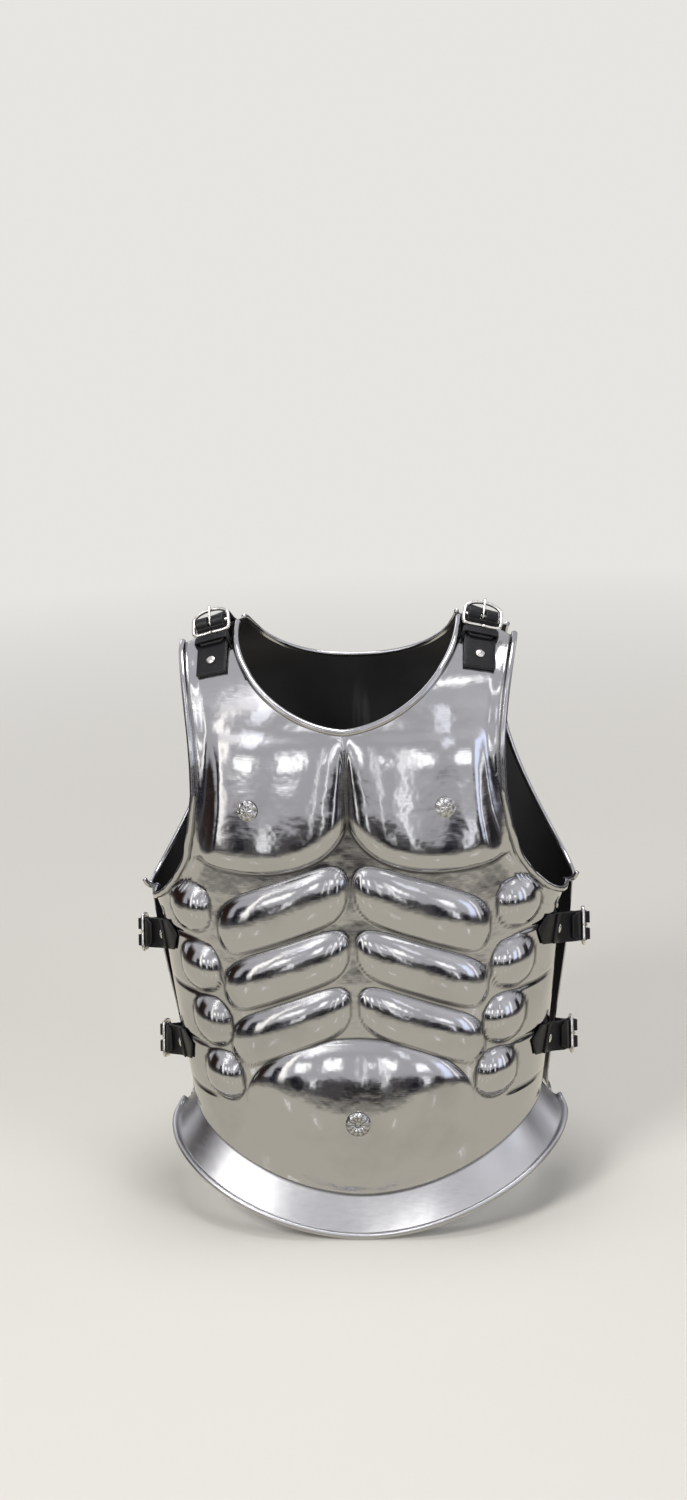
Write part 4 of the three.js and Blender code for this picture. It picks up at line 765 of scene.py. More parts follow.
def lattice(side, guides, neck_columns, arm_columns, side_columns, chest_rows, tongue_rows):
    """Angles and heights of all lattice points of one half, and which of them are metal."""
    widest = float(half_width(-armpit_drop, side))
    arm_share = (armhole_narrow[side] + armhole_margin) / widest
    shares = np.concatenate([
        neck_share * np.linspace(0, 1, neck_columns + 1),
        mix(neck_share, arm_share, np.linspace(0, 1, arm_columns + 1)[1:]),
        1 - (1 - arm_share) * (1 - np.linspace(0, 1, side_columns + 1)[1:]) ** side_crowding,
    ])
    neck_at, arm_at = neck_columns, neck_columns + arm_columns
    join = neck_joins[side]
    neck_join_x = float(neck_x(-join, side))
    arm_join_x = float(armhole_high_x(-join, side))
    plain_x = shares * widest
    columns = np.arange(len(shares))

    inside = shares <= neck_share + 1e-9
    row_x = np.where(inside, neck_join_x * shares / neck_share,
                     mix(neck_join_x, arm_join_x, (shares - neck_share) / (arm_share - neck_share)))
    row_z = np.where(inside, neck_z(np.minimum(row_x, neck_join_x), side), -join)
    row_height = z_to_height(row_x, row_z)

    heights, share_rows, metal = [], [], []
    lines = [line(plain_x) for line, count in guides]
    for index, (line, count) in enumerate(guides):
        for step in ([0.0] if count == 0 else crowded_steps(count, row_crowding)):
            heights.append(mix(lines[max(index - 1, 0)], lines[index], step))
            share_rows.append(shares)
            metal.append(np.ones(len(shares), bool))
    armhole_at = len(heights) - 1
    start = lines[-1]
    for step in np.arange(1, chest_rows + 1) / chest_rows:
        height = mix(start, row_height, step)
        x = mix(plain_x, row_x, step)
        edge_height = mix(start[arm_at], row_height[arm_at], step)
        pull = armhole_high_x(height_to_z(x, edge_height), side) - mix(arm_share * widest, arm_join_x, step)
        x = x + pull * shares / arm_share
        heights.append(height)
        share_rows.append(x / half_width(np.minimum(height, -spring_drop), side))
        metal.append(columns <= arm_at)
    neck_at_row = len(heights) - 1
    full = depth(-spring_drop, side) * depth_share(angle_of(strap_line_x / widest))
    reach = abs(tongue_ends[side] - edge_y(side)) / full
    across = (shares - neck_share) / (arm_share - neck_share)
    end = -spring_drop + rise_at(row_x) * np.arccos(reach) - tongue_corner * smooth(4 * across - 3)
    for step in np.arange(1, tongue_rows + 1) / tongue_rows:
        height = mix(row_height, end, step)
        z = height_to_z(row_x, height)
        x = mix(neck_x(z, side), armhole_high_x(z, side), across)
        heights.append(height)
        share_rows.append(x / half_width(np.minimum(height, -spring_drop), side))
        metal.append((columns >= neck_at) & (columns <= arm_at))
    heights, share_rows, metal = map(np.array, (heights, share_rows, metal))
    angles = angle_of(np.clip(share_rows, 0, 1))
    return angles, heights, metal, (neck_at, arm_at, armhole_at, neck_at_row)


def plate_sheet(side, guides, **counts):
    """The outer face of a plate: points, normals, quads, creases and the lines along its edges."""
    angles, heights, metal, (neck_at, arm_at, armhole_at, neck_at_row) = lattice(side, guides, **counts)
    points = surface(angles, heights, side)
    normals = slope_normal(surface, angles, heights, side)
    points[:, 0, 0] = 0
    normals[:, 0, 0] = 0
    normals = unit(normals)
    relief = relief_of[side]
    x, z = points[..., 0], points[..., 2]
    # The mark crease is how far a point lies below the mean of its neighbours; the steel paints shade there.
    beside = ((crease_reach, 0), (-crease_reach, 0), (0, crease_reach), (0, -crease_reach))
    level_round = sum(relief(x + dx, z + dz) for dx, dz in beside) / len(beside)
    crease = clamp((level_round - relief(x, z) - crease_start) / crease_full)

    points, normals, metal, crease = (
        np.concatenate([half[:, :0:-1], half], 1) for half in (points, normals, metal, crease))
    middle, last = metal.shape[1] // 2, len(metal) - 1
    points[:, :middle, 0] *= -1
    normals[:, :middle, 0] *= -1
    number = np.cumsum(metal.ravel()).reshape(metal.shape) - 1
    full = metal[:-1, :-1] & metal[:-1, 1:] & metal[1:, :-1] & metal[1:, 1:]
    quads = grid_quads(number)[full.ravel()]
    if side == BACK:
        quads = quads[:, ::-1]
    neck = np.concatenate([
        number[last:neck_at_row:-1, middle - neck_at],
        number[neck_at_row, middle - neck_at:middle + neck_at + 1],
        number[neck_at_row + 1:, middle + neck_at],
    ])
    armholes = [
        np.concatenate([number[last:armhole_at:-1, middle + hand * arm_at],
                        number[armhole_at, middle + hand * np.arange(arm_at, middle + 1)]])
        for hand in (1, -1)
    ]
    return {
        "points": points[metal], "normals": normals[metal], "quads": quads, "crease": crease[metal],
        "neck": neck, "armholes": armholes, "hem": number[0], "above_hem": number[3],
    }


print("rows crowd at both ends:", [round(float(share), 2) for share in crowded_steps(6, row_crowding)])

# %% [markdown]
# A sheet becomes a wall: its faces are turned over at a depth, and the edges are joined. Along the neck and
# the armholes the edge is rolled, as over a wire, which makes it stiff and takes its sharpness. There the
# join is a round section that leaves the outer face, stands proud of it and ends on the inner face; the line
# where it leaves the outer face is painted dark, as painted shade of a groove. The Solidify modifier gives a
# sheet its thickness too, but it can't roll an edge.

# %% Walls with rolled edges
roll_turns = np.radians(np.linspace(160, -85, 15))
# Painted shade: the roll's foot line carries a high crease mark, so the steel paints it dark.
roll_line_shade = 0.9


def wall(sheet_parts, rolls):
    """Points, quads, end triangles, inner flags and creases of a closed wall."""
    points, normals, quads = (sheet_parts[key] for key in ("points", "normals", "quads"))
    shift = len(points)
    sides = np.concatenate([quads[:, [0, 1]], quads[:, [1, 2]], quads[:, [2, 3]], quads[:, [3, 0]]])
    key = sides[:, 0] * shift + sides[:, 1]
    free = sides[~np.isin(sides[:, 1] * shift + sides[:, 0], key)]
    free_key = free[:, 0] * shift + free[:, 1]
    new_points, new_quads, new_triangles, used = [], [], [], []
    count, steps = 2 * shift, len(roll_turns)
    for line, radius in rolls:
        if line[0] * shift + line[1] not in free_key:
            line = line[::-1]
        used.append(line[:-1] * shift + line[1:])
        out = unit(np.cross(np.gradient(points[line], axis=0), normals[line]))
        outward = roll_inset(radius) + radius * np.cos(roll_turns)
        upward = radius - sheet + radius * np.sin(roll_turns)
        rings = (points[line][:, None] + out[:, None] * outward[None, :, None]
                 + normals[line][:, None] * upward[None, :, None])
        ring_numbers = count + np.arange(len(line) * steps).reshape(-1, steps)
        grid = np.column_stack([line, ring_numbers, line + shift])
        count += ring_numbers.size
        new_points.append(rings.reshape(-1, 3))
        new_quads.append(np.roll(grid_quads(grid), 1, 1))
        for ring, order in ((grid[0], (0, 2, 1)), (grid[-1], (0, 1, 2))):
            fan = np.stack([np.full(steps, ring[0]), ring[1:-1], ring[2:]], -1)
            new_triangles.append(fan[:, order])
    plain = free[~np.isin(free_key, np.concatenate(used))]
    rim = np.stack([plain[:, 1], plain[:, 0], plain[:, 0] + shift, plain[:, 1] + shift], -1)
    all_quads = np.concatenate([quads, quads[:, ::-1] + shift, rim, *new_quads])
    inner = np.zeros(len(all_quads), int)
    inner[len(quads):2 * len(quads)] = 1
    crease = np.concatenate([sheet_parts["crease"], np.zeros(count - shift)])
    for line, radius in rolls:
        crease[line] = roll_line_shade
    all_points = np.concatenate([points, points - normals * sheet, *new_points])
    return all_points, all_quads, np.concatenate(new_triangles), inner, crease


def signed_volume(points, quads, triangles):
    """Volume inside the faces in litres, positive if they point outwards."""
    corners = np.concatenate([quads[:, [0, 1, 2]], quads[:, [0, 2, 3]], triangles])
    a, b, c = (points[corners[:, index]] for index in range(3))
    return float(np.einsum("ij,ij->i", a, np.cross(b, c)).sum() / 6) * 1e-6


print("a rolled edge has", len(roll_turns), "points round it")

# %% Breastplate and backplate
front = plate_sheet(FRONT, front_guides, neck_columns=46, arm_columns=20, side_columns=34,
                    chest_rows=48, tongue_rows=26)
back = plate_sheet(BACK, back_guides, neck_columns=40, arm_columns=18, side_columns=28,
                   chest_rows=40, tongue_rows=14)
plates = (
    ("breast_shell", front, FRONT, "breast", "polished_steel", "breastplate", front_steel, ("neck",)),
    ("back_shell", back, BACK, "back", "back_steel", "backplate", back_steel, ("neck", "hem")),
)
for name, parts, side, body, slot, node, finish, lines in plates:
    rolls = [(line, roll_radius[side]) for line in (*(parts[key] for key in lines), *parts["armholes"])]
    points, quads, triangles, inner, crease = wall(parts, rolls)
    piece = make_mesh(name, points, quads, triangles, (finish, lining), inner, {"crease": crease})
    settle(piece, body, slot, node)
    print(name, len(quads) * 2 + len(triangles), "triangles,",
          round(signed_volume(points, quads, triangles), 4), "litres")

# %% [markdown]
# The armhole's roll runs on past the armpit and ends in a small upturned hook. It is a tube: rings of
# points carried along a line, each ring standing square to it. A bevelled curve would look alike, but
# these rings can taper and close in a blunt tip, and the buckles' wire is made by the same function.

# %% Tubes
end_bulge = 0.35  # how far a tube's ends stand out, as a share of its radius


def tube(line, radius, sides=16, taper=0.0):
    """Rings round a line: two directions square to it, times cosine and sine. Each end is a blunt cone.
    The first direction is carried on from ring to ring, so that the tube doesn't twist."""
    line = np.asarray(line, float)
    along = unit(np.gradient(line, axis=0))
    frames = [unit(np.cross(along[0], (0, 0, 1) if abs(along[0][2]) < 0.9 else (0, 1, 0)))]
    for direction in along[1:]:
        frames.append(unit(frames[-1] - direction * np.dot(frames[-1], direction)))
    one = np.array(frames)
    two = np.cross(along, one)
    turns = np.arange(sides) / sides * 2 * np.pi
    radii = radius * (1 - taper * np.linspace(0, 1, len(line)) ** 2)
    rings = line[:, None] + radii[:, None, None] * (
        one[:, None] * np.cos(turns)[None, :, None] + two[:, None] * np.sin(turns)[None, :, None])
    number = np.arange(len(line) * sides).reshape(-1, sides)
    tips = np.array([line[end] + way * along[end] * radii[end] * end_bulge for end, way in ((0, -1), (-1, 1))])
    return np.vstack([rings.reshape(-1, 3), tips]), grid_quads(number, ring=True), end_fans(number, number.size)


print("a straight tube of two rings has", len(tube([(0, 0, 0), (0, 0, 10)], 2)[0]), "points")

# %% Armhole hooks
hook_out, hook_up, hook_share, hook_front = 12, 11, 0.9, 0.3
hook_shares = ((-0.1, -0.3, 0), (0.3, 0.15, 0.15), (0.75, 0.45, 0.5), (1, 0.55, 1))
for line, hand, name in zip(front["armholes"], (1, -1), ("left", "right")):
    armpit = front["points"][line[-1]]
    radius = roll_radius[FRONT]
    knots = [(armpit[0] + hand * (radius - sheet + out * hook_out),
              armpit[1] - (forward + hook_front) * hook_out,
              armpit[2] + radius + up * hook_up) for out, forward, up in hook_shares]
    points, quads, triangles = tube(catmull(knots, [6, 8, 8]), radius * hook_share, 18, taper=0.15)
    settle(make_mesh("armhole_hook_" + name, points, quads, triangles, (front_steel,)), "breast", "polished_steel")
print("hooks at", [round(v) for v in armpit])

# %% [markdown]
# The belly flange is a band of its own behind the breastplate's lower edge: a short lip, a bend and a
# flare that leans out to a rolled edge. Its ends are rounded off and swept back. It could be extruded from
# the edge of the plate, but every bump of the belly would then run on through it. So its directions are
# evened along the hem first, and rows are set out from there.

# %% Belly flange
flange_width, flange_sweep, flange_sweep_run, flange_sweep_power = 39, 9, 60, 3.5
flange_out, flange_down = (0.55, 0.04), (0.84, -0.04)  # shares of the width: times the way, and its square
flange_gap, flange_lip, flange_bend, flange_rows = 0.8, 6, 1, 24
flange_corner, flange_tip = 30, 0.32
# Painted shade: the rows next to the joint carry a crease mark, so the steel paints them dark.
root_rows, root_shade = 5, 0.8  # the rows next to the joint are dark
normal_reach, way_reach = 26, 12
edge = front["points"][front["hem"]]
hem_normal = front["normals"][front["hem"]]
run = np.concatenate([[0], np.cumsum(np.linalg.norm(np.diff(edge, axis=0), axis=1))])


def evened(values, reach):
    """Values along the hem, each the mean of its neighbours weighted by a bell curve of distance."""
    weight = np.exp(-((run[:, None] - run[None]) / reach) ** 2)
    return unit(weight @ values / weight.sum(1, keepdims=True))


along = evened(unit(np.gradient(edge, axis=0)), way_reach)
down = unit(np.cross(along, evened(evened(hem_normal, normal_reach), normal_reach)))
outward = np.cross(down, along)
root, above = (front["points"][front[key]] - front["normals"][front[key]] * (sheet + flange_gap)
               for key in ("hem", "above_hem"))
lip = unit(above - root) * flange_lip
from_end = np.minimum(run, run[-1] - run)
opened = clamp(from_end / flange_corner + flange_tip)
width = flange_width * np.sqrt(1 - (1 - opened) ** 2)
rows = [root + lip, root + lip / 2, root, root + down * flange_bend]
for share in np.arange(1, flange_rows + 1) / flange_rows:
    out = (flange_out[0] * share + flange_out[1] * share ** 2) * width
    fall = (flange_down[0] * share + flange_down[1] * share ** 2) * width + flange_bend
    sweep = (np.sign(edge[:, 0]) * flange_sweep * share ** flange_sweep_power
             * smooth(1 - from_end / flange_sweep_run))
    rows.append(root + outward * out[:, None] + down * fall[:, None] + along * sweep[:, None])
rows = np.array(rows[::-1])
number = np.arange(rows.shape[0] * rows.shape[1]).reshape(rows.shape[:2])
at_root = np.arange(len(rows)) >= len(rows) - root_rows
flange = {
    "points": rows.reshape(-1, 3), "quads": grid_quads(number),
    "normals": unit(np.cross(np.gradient(rows, axis=1), np.gradient(rows, axis=0))).reshape(-1, 3),
    "crease": np.repeat(at_root * root_shade, rows.shape[1]),
}
points, quads, triangles, inner, crease = wall(flange, [(number[0], roll_radius[FRONT])])
piece = make_mesh("flange_band", points, quads, triangles, (flange_steel, lining), inner, {"crease": crease})
settle(piece, "breast", "polished_steel", "belly_flange")
print("flange", round(signed_volume(points, quads, triangles), 4), "litres")

# %% [markdown]
# ## Studs and rivets
# Each fixing is a profile of radius and level, turned about the plate's normal. The nipple studs are folded
# like a paper fan, so that pressed facets run up to a blunt tip. A rivet's levels come from the stack of
# leather under its head. The Screw modifier turns a profile as well, but it can't fold one.

# %% Frames on the plates
frame_step = 0.01


def plate_frame(side, x, height):
    """The place on a plate, its outward normal and the direction up."""
    angle = angle_of(np.array(x / half_width(min(height, -spring_drop), side)))

    def at(turn, rise):
        return surface(angle + turn * frame_step, np.array(height + rise * frame_step * chest_half_width), side)

    up = unit(at(0, 1) - at(0, -1))
    return at(0, 0), unit(np.cross(at(1, 0) - at(-1, 0), up) * -side), up


def turned(profile, origin, axis, sides=40, dip=None):
    """A closed turned shape: radius times cosine and sine along two directions square to the axis.
    dip(ring, spoke turn) lowers points. A profile starts and ends on the axis, or closes on itself."""
    profile = np.asarray(profile, float)
    side = np.array((0, 0, 1.0)) if abs(axis[2]) < 0.5 else np.array((0, 1.0, 0))
    one = unit(np.cross(side, axis))
    two = np.cross(axis, one)
    ring_like = profile[0, 0] > 0
    body = profile if ring_like else profile[1:-1]
    turns = np.arange(sides) / sides * 2 * np.pi
    level = np.repeat(body[:, 1:2], sides, 1)
    if dip is not None:
        level = level - dip(np.arange(len(body))[:, None], turns[None, :])
    flat = one * np.cos(turns)[:, None] + two * np.sin(turns)[:, None]
    points = (origin + body[:, 0, None, None] * flat[None] + level[..., None] * axis).reshape(-1, 3)
    number = np.arange(len(body) * sides).reshape(-1, sides)
    quads = grid_quads(number, ring=True, loop=ring_like)
    if ring_like:
        return points, quads, np.zeros((0, 3), int)
    tips = np.array([origin + axis * profile[end, 1] for end in (0, -1)])
    return np.vstack([points, tips]), quads, end_fans(number, number.size)


print("the belly's middle faces", [round(float(v), 2) for v in plate_frame(FRONT, 0, -belly_dome_drop)[1]])


# %% Profiles
touch_gap, rivet_shank, burr_radius, burr_thickness, burr_gap = 0.3, 2.0, 4.6, 1.2, 1.6
rivet_head, rivet_head_height, rivet_sides = 4.6, 1.9, 28
nipple_radius, nipple_height, nipple_base, nipple_rise, stud_seat = 10, 4.8, 1.1, 4, 1
nipple_tip, nipple_fold_depth, nipple_sides = 0.93, 1.65, 64
nipple_rings = ((1, 0), (1, 0.19), (0.97, 0.26), (0.86, 0.38), (0.74, 0.5), (0.62, 0.6), (0.5, 0.7),
                (0.38, 0.76), (0.28, 0.82), (0.13, 0.9))
nipple_folds = (0.15, 0.4, 0.75, 0.5, 0.1, -0.5, -0.7, -0.55, -0.2)
navel_radius, navel_height, navel_hole, navel_sides = 12.5, 4.2, 3, 72
navel_rays, navel_ray_depth = 12, 0.6


def shank_profile(under):
    """A burr inside the plate and the shank up to the head."""
    inside = -sheet - burr_gap
    return [(0, inside - burr_thickness), (burr_radius - 0.4, inside - burr_thickness),
            (burr_radius, inside - burr_thickness + 0.4), (burr_radius, inside),
            (rivet_shank, inside), (rivet_shank, under)]


def rivet_profile(stack):
    """A flat mushroom head: an ellipse's quarter from the brim to the middle."""
    under, brim = stack + touch_gap, 0.35
    turns = np.radians(np.linspace(8, 90, 9))[:-1]
    dome = np.column_stack([rivet_head * np.cos(turns), under + brim + (rivet_head_height - brim) * np.sin(turns)])
    return [*shank_profile(under), (rivet_head - 0.2, under), (rivet_head, under + 0.3),
            *dome, (0, under + rivet_head_height)]


def rivet(name, body, frame_at, stack):
    point, normal, up = frame_at
    piece = make_mesh(name + "_head", *turned(rivet_profile(stack), point, normal, rivet_sides), (nickel,))
    settle(piece, body, "nickel", name)


def painted_fold_shade(rings, sides, dip, tips=2):
    """How deep in a pressed fold each point of a turned shape lies, from 0 to 1; the stud steel paints shade there.
    """
    depth = dip(np.arange(rings)[:, None], np.arange(sides)[None, :] / sides * 2 * np.pi)
    return np.concatenate([(depth / depth.max()).ravel(), np.zeros(tips)])


def stud(name, frame_at):
    """A rosette: eight folds round the brim, eight more between them nearer the middle, and a blunt tip."""
    lift = touch_gap + stud_seat
    shank = shank_profile(lift)
    profile = [*shank, *((nipple_radius * out, lift + nipple_height * rise) for out, rise in nipple_rings),
               (0, lift + nipple_height * nipple_tip)]
    amount = np.zeros(len(profile))
    amount[len(shank) + 1:len(shank) + 1 + len(nipple_folds)] = nipple_folds

    def dip(ring, turn):
        """Folded like a paper fan: a sharp wave round the stud, half a step on at each side of the middle."""
        wave = np.abs(((turn * 8 / (2 * np.pi)) % 1) - 0.5) * 2
        fold = amount[ring + 1]
        return nipple_fold_depth * np.where(fold >= 0, fold * wave, -fold * (1 - wave))

    point, normal, up = frame_at
    marks = {"crease": painted_fold_shade(len(profile) - 2, nipple_sides, dip)}
    mesh = turned(profile, point, normal, nipple_sides, dip)
    piece = make_mesh(name + "_rosette", *mesh, (stud_steel,), marks=marks)
    piece.data.polygons.foreach_set("use_smooth", np.zeros(len(piece.data.polygons), bool))
    settle(piece, "breast", "stud_steel", name)


print("a rivet's profile has", len(rivet_profile(0)), "points")

# %% Studs and navel
for name, hand in (("left", 1), ("right", -1)):
    stud("nipple_stud_" + name, plate_frame(FRONT, hand * pec_x, nipple_rise - pec_drop))
lift, inside = touch_gap + stud_seat, -sheet - burr_gap
shank = navel_hole + sheet
burr = [(navel_hole, inside - burr_thickness), (shank + burr_thickness, inside - burr_thickness),
        (shank + burr_thickness, inside), (shank, inside), (shank, lift)]
brim = [(navel_radius - 0.5, lift), (navel_radius, lift + 0.4), (navel_radius, lift + nipple_base)]
dish = [(navel_radius * (0.62 + 0.34 * math.cos(turn)),
         lift + nipple_base + (navel_height - nipple_base) * math.sin(turn))
        for turn in np.radians(np.linspace(10, 150, 13))]
hole = [(navel_hole + 0.6, lift + navel_height * 0.42), (navel_hole, lift + navel_height * 0.3)]
ring = [*burr, *brim, *dish, *hole]
face_start = len(burr) + len(brim)


def petals(ring_index, turn):
    """Shallow pressed rays on the dished rim: a cosine of the turn."""
    on_face = (ring_index >= face_start) & (ring_index < face_start + len(dish) - 1)
    return np.where(on_face, navel_ray_depth * (0.5 + 0.5 * np.cos(turn * navel_rays)), 0)


point, normal, up = plate_frame(FRONT, 0, -belly_dome_drop)
# The navel's ray valleys carry painted shade as well.
marks = {"crease": painted_fold_shade(len(ring), navel_sides, petals, 0)}
piece = make_mesh("navel_rosette", *turned(ring, point, normal, navel_sides, petals), (stud_steel,), marks=marks)
settle(piece, "breast", "stud_steel", "navel_rivet")
print("two studs of", len(nipple_rings), "rings and a navel of", len(ring))

# %% [markdown]
# ## Leather
# A strap is a section carried along a line. Each station gives a place, a normal, a half width and how far
# the leather goes below and above the line. The corners of the section are rounded, and numbers for the
# edge, the run along the strap and the way across go into the mesh for the leather's wrinkles. A curve
# with a bevel object could do the carrying, but not change width at a pointed end or mark the cut edges.

# %% Carried sections
strap_width, chape_width, strap_thickness, chape_layer = 29, 31, 2.6, 2
wire_radius, bar_radius, buckle_half_width, front_reach, arch_reach = 1.9, 1.7, 18.5, 11.5, 17
buckle_corner, arch_foot, prong_radius, prong_slot_half, joint_gap = 4, 6, 1.4, 2.6, 0.5
strap_layer = strap_thickness / 2
strap_under_bar = wire_radius + touch_gap + strap_layer
chape_under_bar = strap_under_bar + strap_layer + touch_gap + chape_layer
section_corner = 0.7


def section_outline():
    """Points round a rounded oblong, as five rows: share of the flat half width, share of the corner beside
    it, +1 for the upper face or -1 for the lower, how much of the corner it lies inside that face, and wear."""
    turns = np.radians([0, 22.5, 45, 67.5, 90])
    flat = np.linspace(-1, 1, 9)[1:-1]
    points = []
    for hand, face, order in ((1, -1, -1), (1, 1, 1), (-1, 1, -1), (-1, -1, 1)):
        points += [(hand, hand * math.cos(turn), face, 1 - math.sin(turn), 1 if turn < 1.2 else 0.6)
                   for turn in turns[::order]]
        if order == 1:
            points += [(share, 0, face, 0, 0) for share in flat[::-face]]
    return np.array(points).T


section = section_outline()
print("a strap's section has", section.shape[1], "points")


def station(point, normal, half, below, above, steps=1):
    return [np.asarray(point, float), np.asarray(normal, float), half, below, above, steps]


def refine(controls, finer=4):
    """Stations on a smooth line through the control stations, with the numbers mixed evenly between."""
    counts = [control[5] * finer for control in controls[:-1]]
    line = catmull([control[0] for control in controls], counts)
    steps = [start + np.arange(count) / count for start, count in enumerate(counts)]
    shares = np.concatenate([*steps, [len(counts)]])
    index = np.minimum(shares.astype(int), len(controls) - 2)
    t = shares - index
    normals, *numbers = (np.array([control[key] for control in controls], float) for key in (1, 2, 3, 4))
    normal = unit(mix(normals[index], normals[index + 1], t[:, None]))
    return line, normal, *(mix(values[index], values[index + 1], t) for values in numbers)


def band(line, normal, half, below, above, corner=section_corner):
    """A rounded oblong carried along a line; returns the mesh and its marks edge, run and across."""
    along = unit(np.gradient(line, axis=0))
    over = unit(np.cross(normal, along))
    square = np.cross(along, over)
    half, below, above = half[:, None], below[:, None], above[:, None]
    corner = np.minimum(corner, (below + above) * 0.45)
    share, bend, face, inward, wear = section
    over_at = share * (half - corner) + bend * corner
    high_at = np.where(face > 0, above, -below) - face * inward * corner
    rings = line[:, None] + over[:, None] * over_at[..., None] + square[:, None] * high_at[..., None]
    sides = len(share)
    number = np.arange(len(line) * sides).reshape(-1, sides)
    middle = (line + square * (above - below) / 2)[[0, -1]]
    mesh = np.vstack([rings.reshape(-1, 3), middle]), grid_quads(number, ring=True), end_fans(number, number.size)
    distance = np.concatenate([[0], np.cumsum(np.linalg.norm(np.diff(line, axis=0), axis=1))]) * MM
    ends = np.zeros(len(line))
    ends[[0, -1]] = 0.9
    marks = {
        "edge": np.concatenate([np.maximum(wear, ends[:, None]).ravel(), [1, 1]]),
        "run": np.concatenate([np.repeat(distance, sides), [distance[0], distance[-1]]]),
        "across": np.concatenate([(over_at * MM).ravel(), [0, 0]]),
    }
    return mesh, marks


def leather_piece(name, mesh, marks, nodes, body=None):
    """A leather mesh, on a body if one is given."""
    piece = make_mesh(name, *mesh, (leather,), marks=marks)
    if body:
        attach(piece, body)
    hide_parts(*nodes)
    return piece


def together(*bands):
    """Bands and their marks as one mesh."""
    mesh = joined(*(one[0] for one in bands))
    return mesh, {key: np.concatenate([one[1][key] for one in bands]) for key in ("edge", "run", "across")}


# %% [markdown]
# ## Straps, chapes and buckles
# A strap comes over from the backplate, dips under the arch of a wire buckle, rises over its middle bar,
# where the prong holds it, goes under the front bar and lies on the chape, at the shoulders in a keeper.
# The chape is a strip folded round the middle bar and riveted to the breastplate. Both have a slot for the
# prong.
# A cloth simulation could drape them, but thick leather under tension keeps to short smooth bends, and
# its line through the buckle is soon set: a few listed places in the buckle's own frame, as shares of
# its reach, with a smooth line through them.

# %% Lines in a buckle's own frame
chape_shares = ((-1, -1.01), (-0.75, -0.93), (-0.43, -0.57), (0, 0))
side_dip_shares = (-1.65, -1.36)
strap_up_shares = ((-1, -1), (-0.75, -0.63), (-0.57, 0.17), (-0.27, 1.34), (0, 1.66))
strap_down_shares = ((0.21, 1.36), (0.4, 0.22), (0.57, -1.42), (0.77, -2.5), (1, -3.05))
slot_front, slot_back, slot_trim = 6, 9.5, 0.03
fold_gap, fold_run = 0.02, 7.5
strap_corner, twist_room, back_seat, front_seat = 4, 0.2, 0.9, 0.4
strap_lift, chape_lift = touch_gap + strap_layer, touch_gap + chape_layer


def local(matrix, s, n, x=0.0):
    """A place in a buckle's frame: origin + x along the bar + s up the arch + n outwards."""
    origin, along, up, out = matrix
    return origin + x * along + s * up + n * out


def on_plate(frame_at, lift, half, below, above, steps=1):
    point, normal, up = frame_at
    return station(point + normal * lift, normal, half, below, above, steps)


def part_of(stations, first, last, shift=0.0, trim=0.0, half=None):
    """A band from some of the stations, set off sideways by a shift."""
    line, normal, width, below, above = (value[first:last] for value in stations)
    over = unit(np.cross(normal, unit(np.gradient(line, axis=0))))
    width = width if half is None else np.full(len(line), float(half))
    mesh, marks = band(line + over * shift, normal, width, below - trim, above - trim)
    marks["across"] = marks["across"] + shift * MM
    return mesh, marks


def slotted(stations, in_slot):
    """One band with a slot: whole before and after, and two strips beside the slot."""
    first, last = np.flatnonzero(in_slot)[[0, -1]]
    side = stations[2][first] - prong_slot_half
    shift = prong_slot_half + side / 2
    return together(
        part_of(stations, 0, first + 1),
        part_of(stations, last, len(in_slot)),
        *(part_of(stations, first - 1, last + 2, sign * shift, slot_trim, side / 2) for sign in (1, -1)),
    )


def chape_station(matrix, s, n):
    place = local(matrix, s * front_reach, n * chape_under_bar)
    return station(place, matrix[3], chape_width / 2, chape_layer, chape_layer)


def strap_station(matrix, s, n, reach):
    place = local(matrix, s * reach, n * strap_under_bar)
    return station(place, matrix[3], strap_width / 2, strap_layer, strap_layer)


def chape_controls(controls, matrix):
    return [*controls, *(chape_station(matrix, s, n) for s, n in chape_shares)]


def folded_chape(controls, matrix):
    """The middle line of a chape becomes one strip: out on the upper side, round the bar, back below.
    Its distance from the middle line grows from half a layer to the loop's radius near the bar."""
    line, normal, half, below, above = refine(controls, 5)
    along = unit(np.gradient(line, axis=0))
    square = unit(normal - along * np.sum(normal * along, 1, keepdims=True))
    loop = bar_radius + touch_gap + chape_layer / 2
    away = np.linalg.norm(line - matrix[0], axis=1)
    lift = mix(chape_layer / 2 + 2 * fold_gap, loop, smooth(1.25 - away / fold_run))[:, None]
    upper, lower = slice(int(np.argmax(above > chape_layer / 2)), None), slice(None, None, -1)
    turns = np.radians(np.linspace(0, 180, 17)[1:-1])
    round_bar = square[-1] * np.cos(turns)[:, None] + along[-1] * np.sin(turns)[:, None]
    path = np.vstack([(line + square * lift)[upper], matrix[0] + loop * round_bar, (line - square * lift)[lower]])
    ways = np.vstack([square[upper], round_bar, -square[lower]])
    widths = np.concatenate([half[upper], np.full(len(turns), half[-1]), half[lower]])
    layer = np.full(len(path), chape_layer / 2 - fold_gap)
    prong_reach = bar_radius + touch_gap + 2 * prong_radius + 2 * touch_gap
    return slotted((path, ways, widths, layer, layer), np.linalg.norm(path - matrix[0], axis=1) < prong_reach)


def tail_stations(controls):
    """The end of the strap lies on the chape, two stations back from the front bar."""
    line, normal, half, below, above = refine(controls, 1)
    start = len(line) - len(chape_shares)
    stations = []
    for order, index in enumerate((start - 2, start - 1)):
        along = unit(line[index + 1] - line[index - 1])
        square = unit(normal[index] - along * np.dot(normal[index], along))
        lift = chape_layer + touch_gap + twist_room + strap_layer
        width = strap_width / 2 - (strap_corner if order == 0 else 0)
        stations.append(station(line[index] + square * lift, square, width, strap_layer, strap_layer))
    return stations


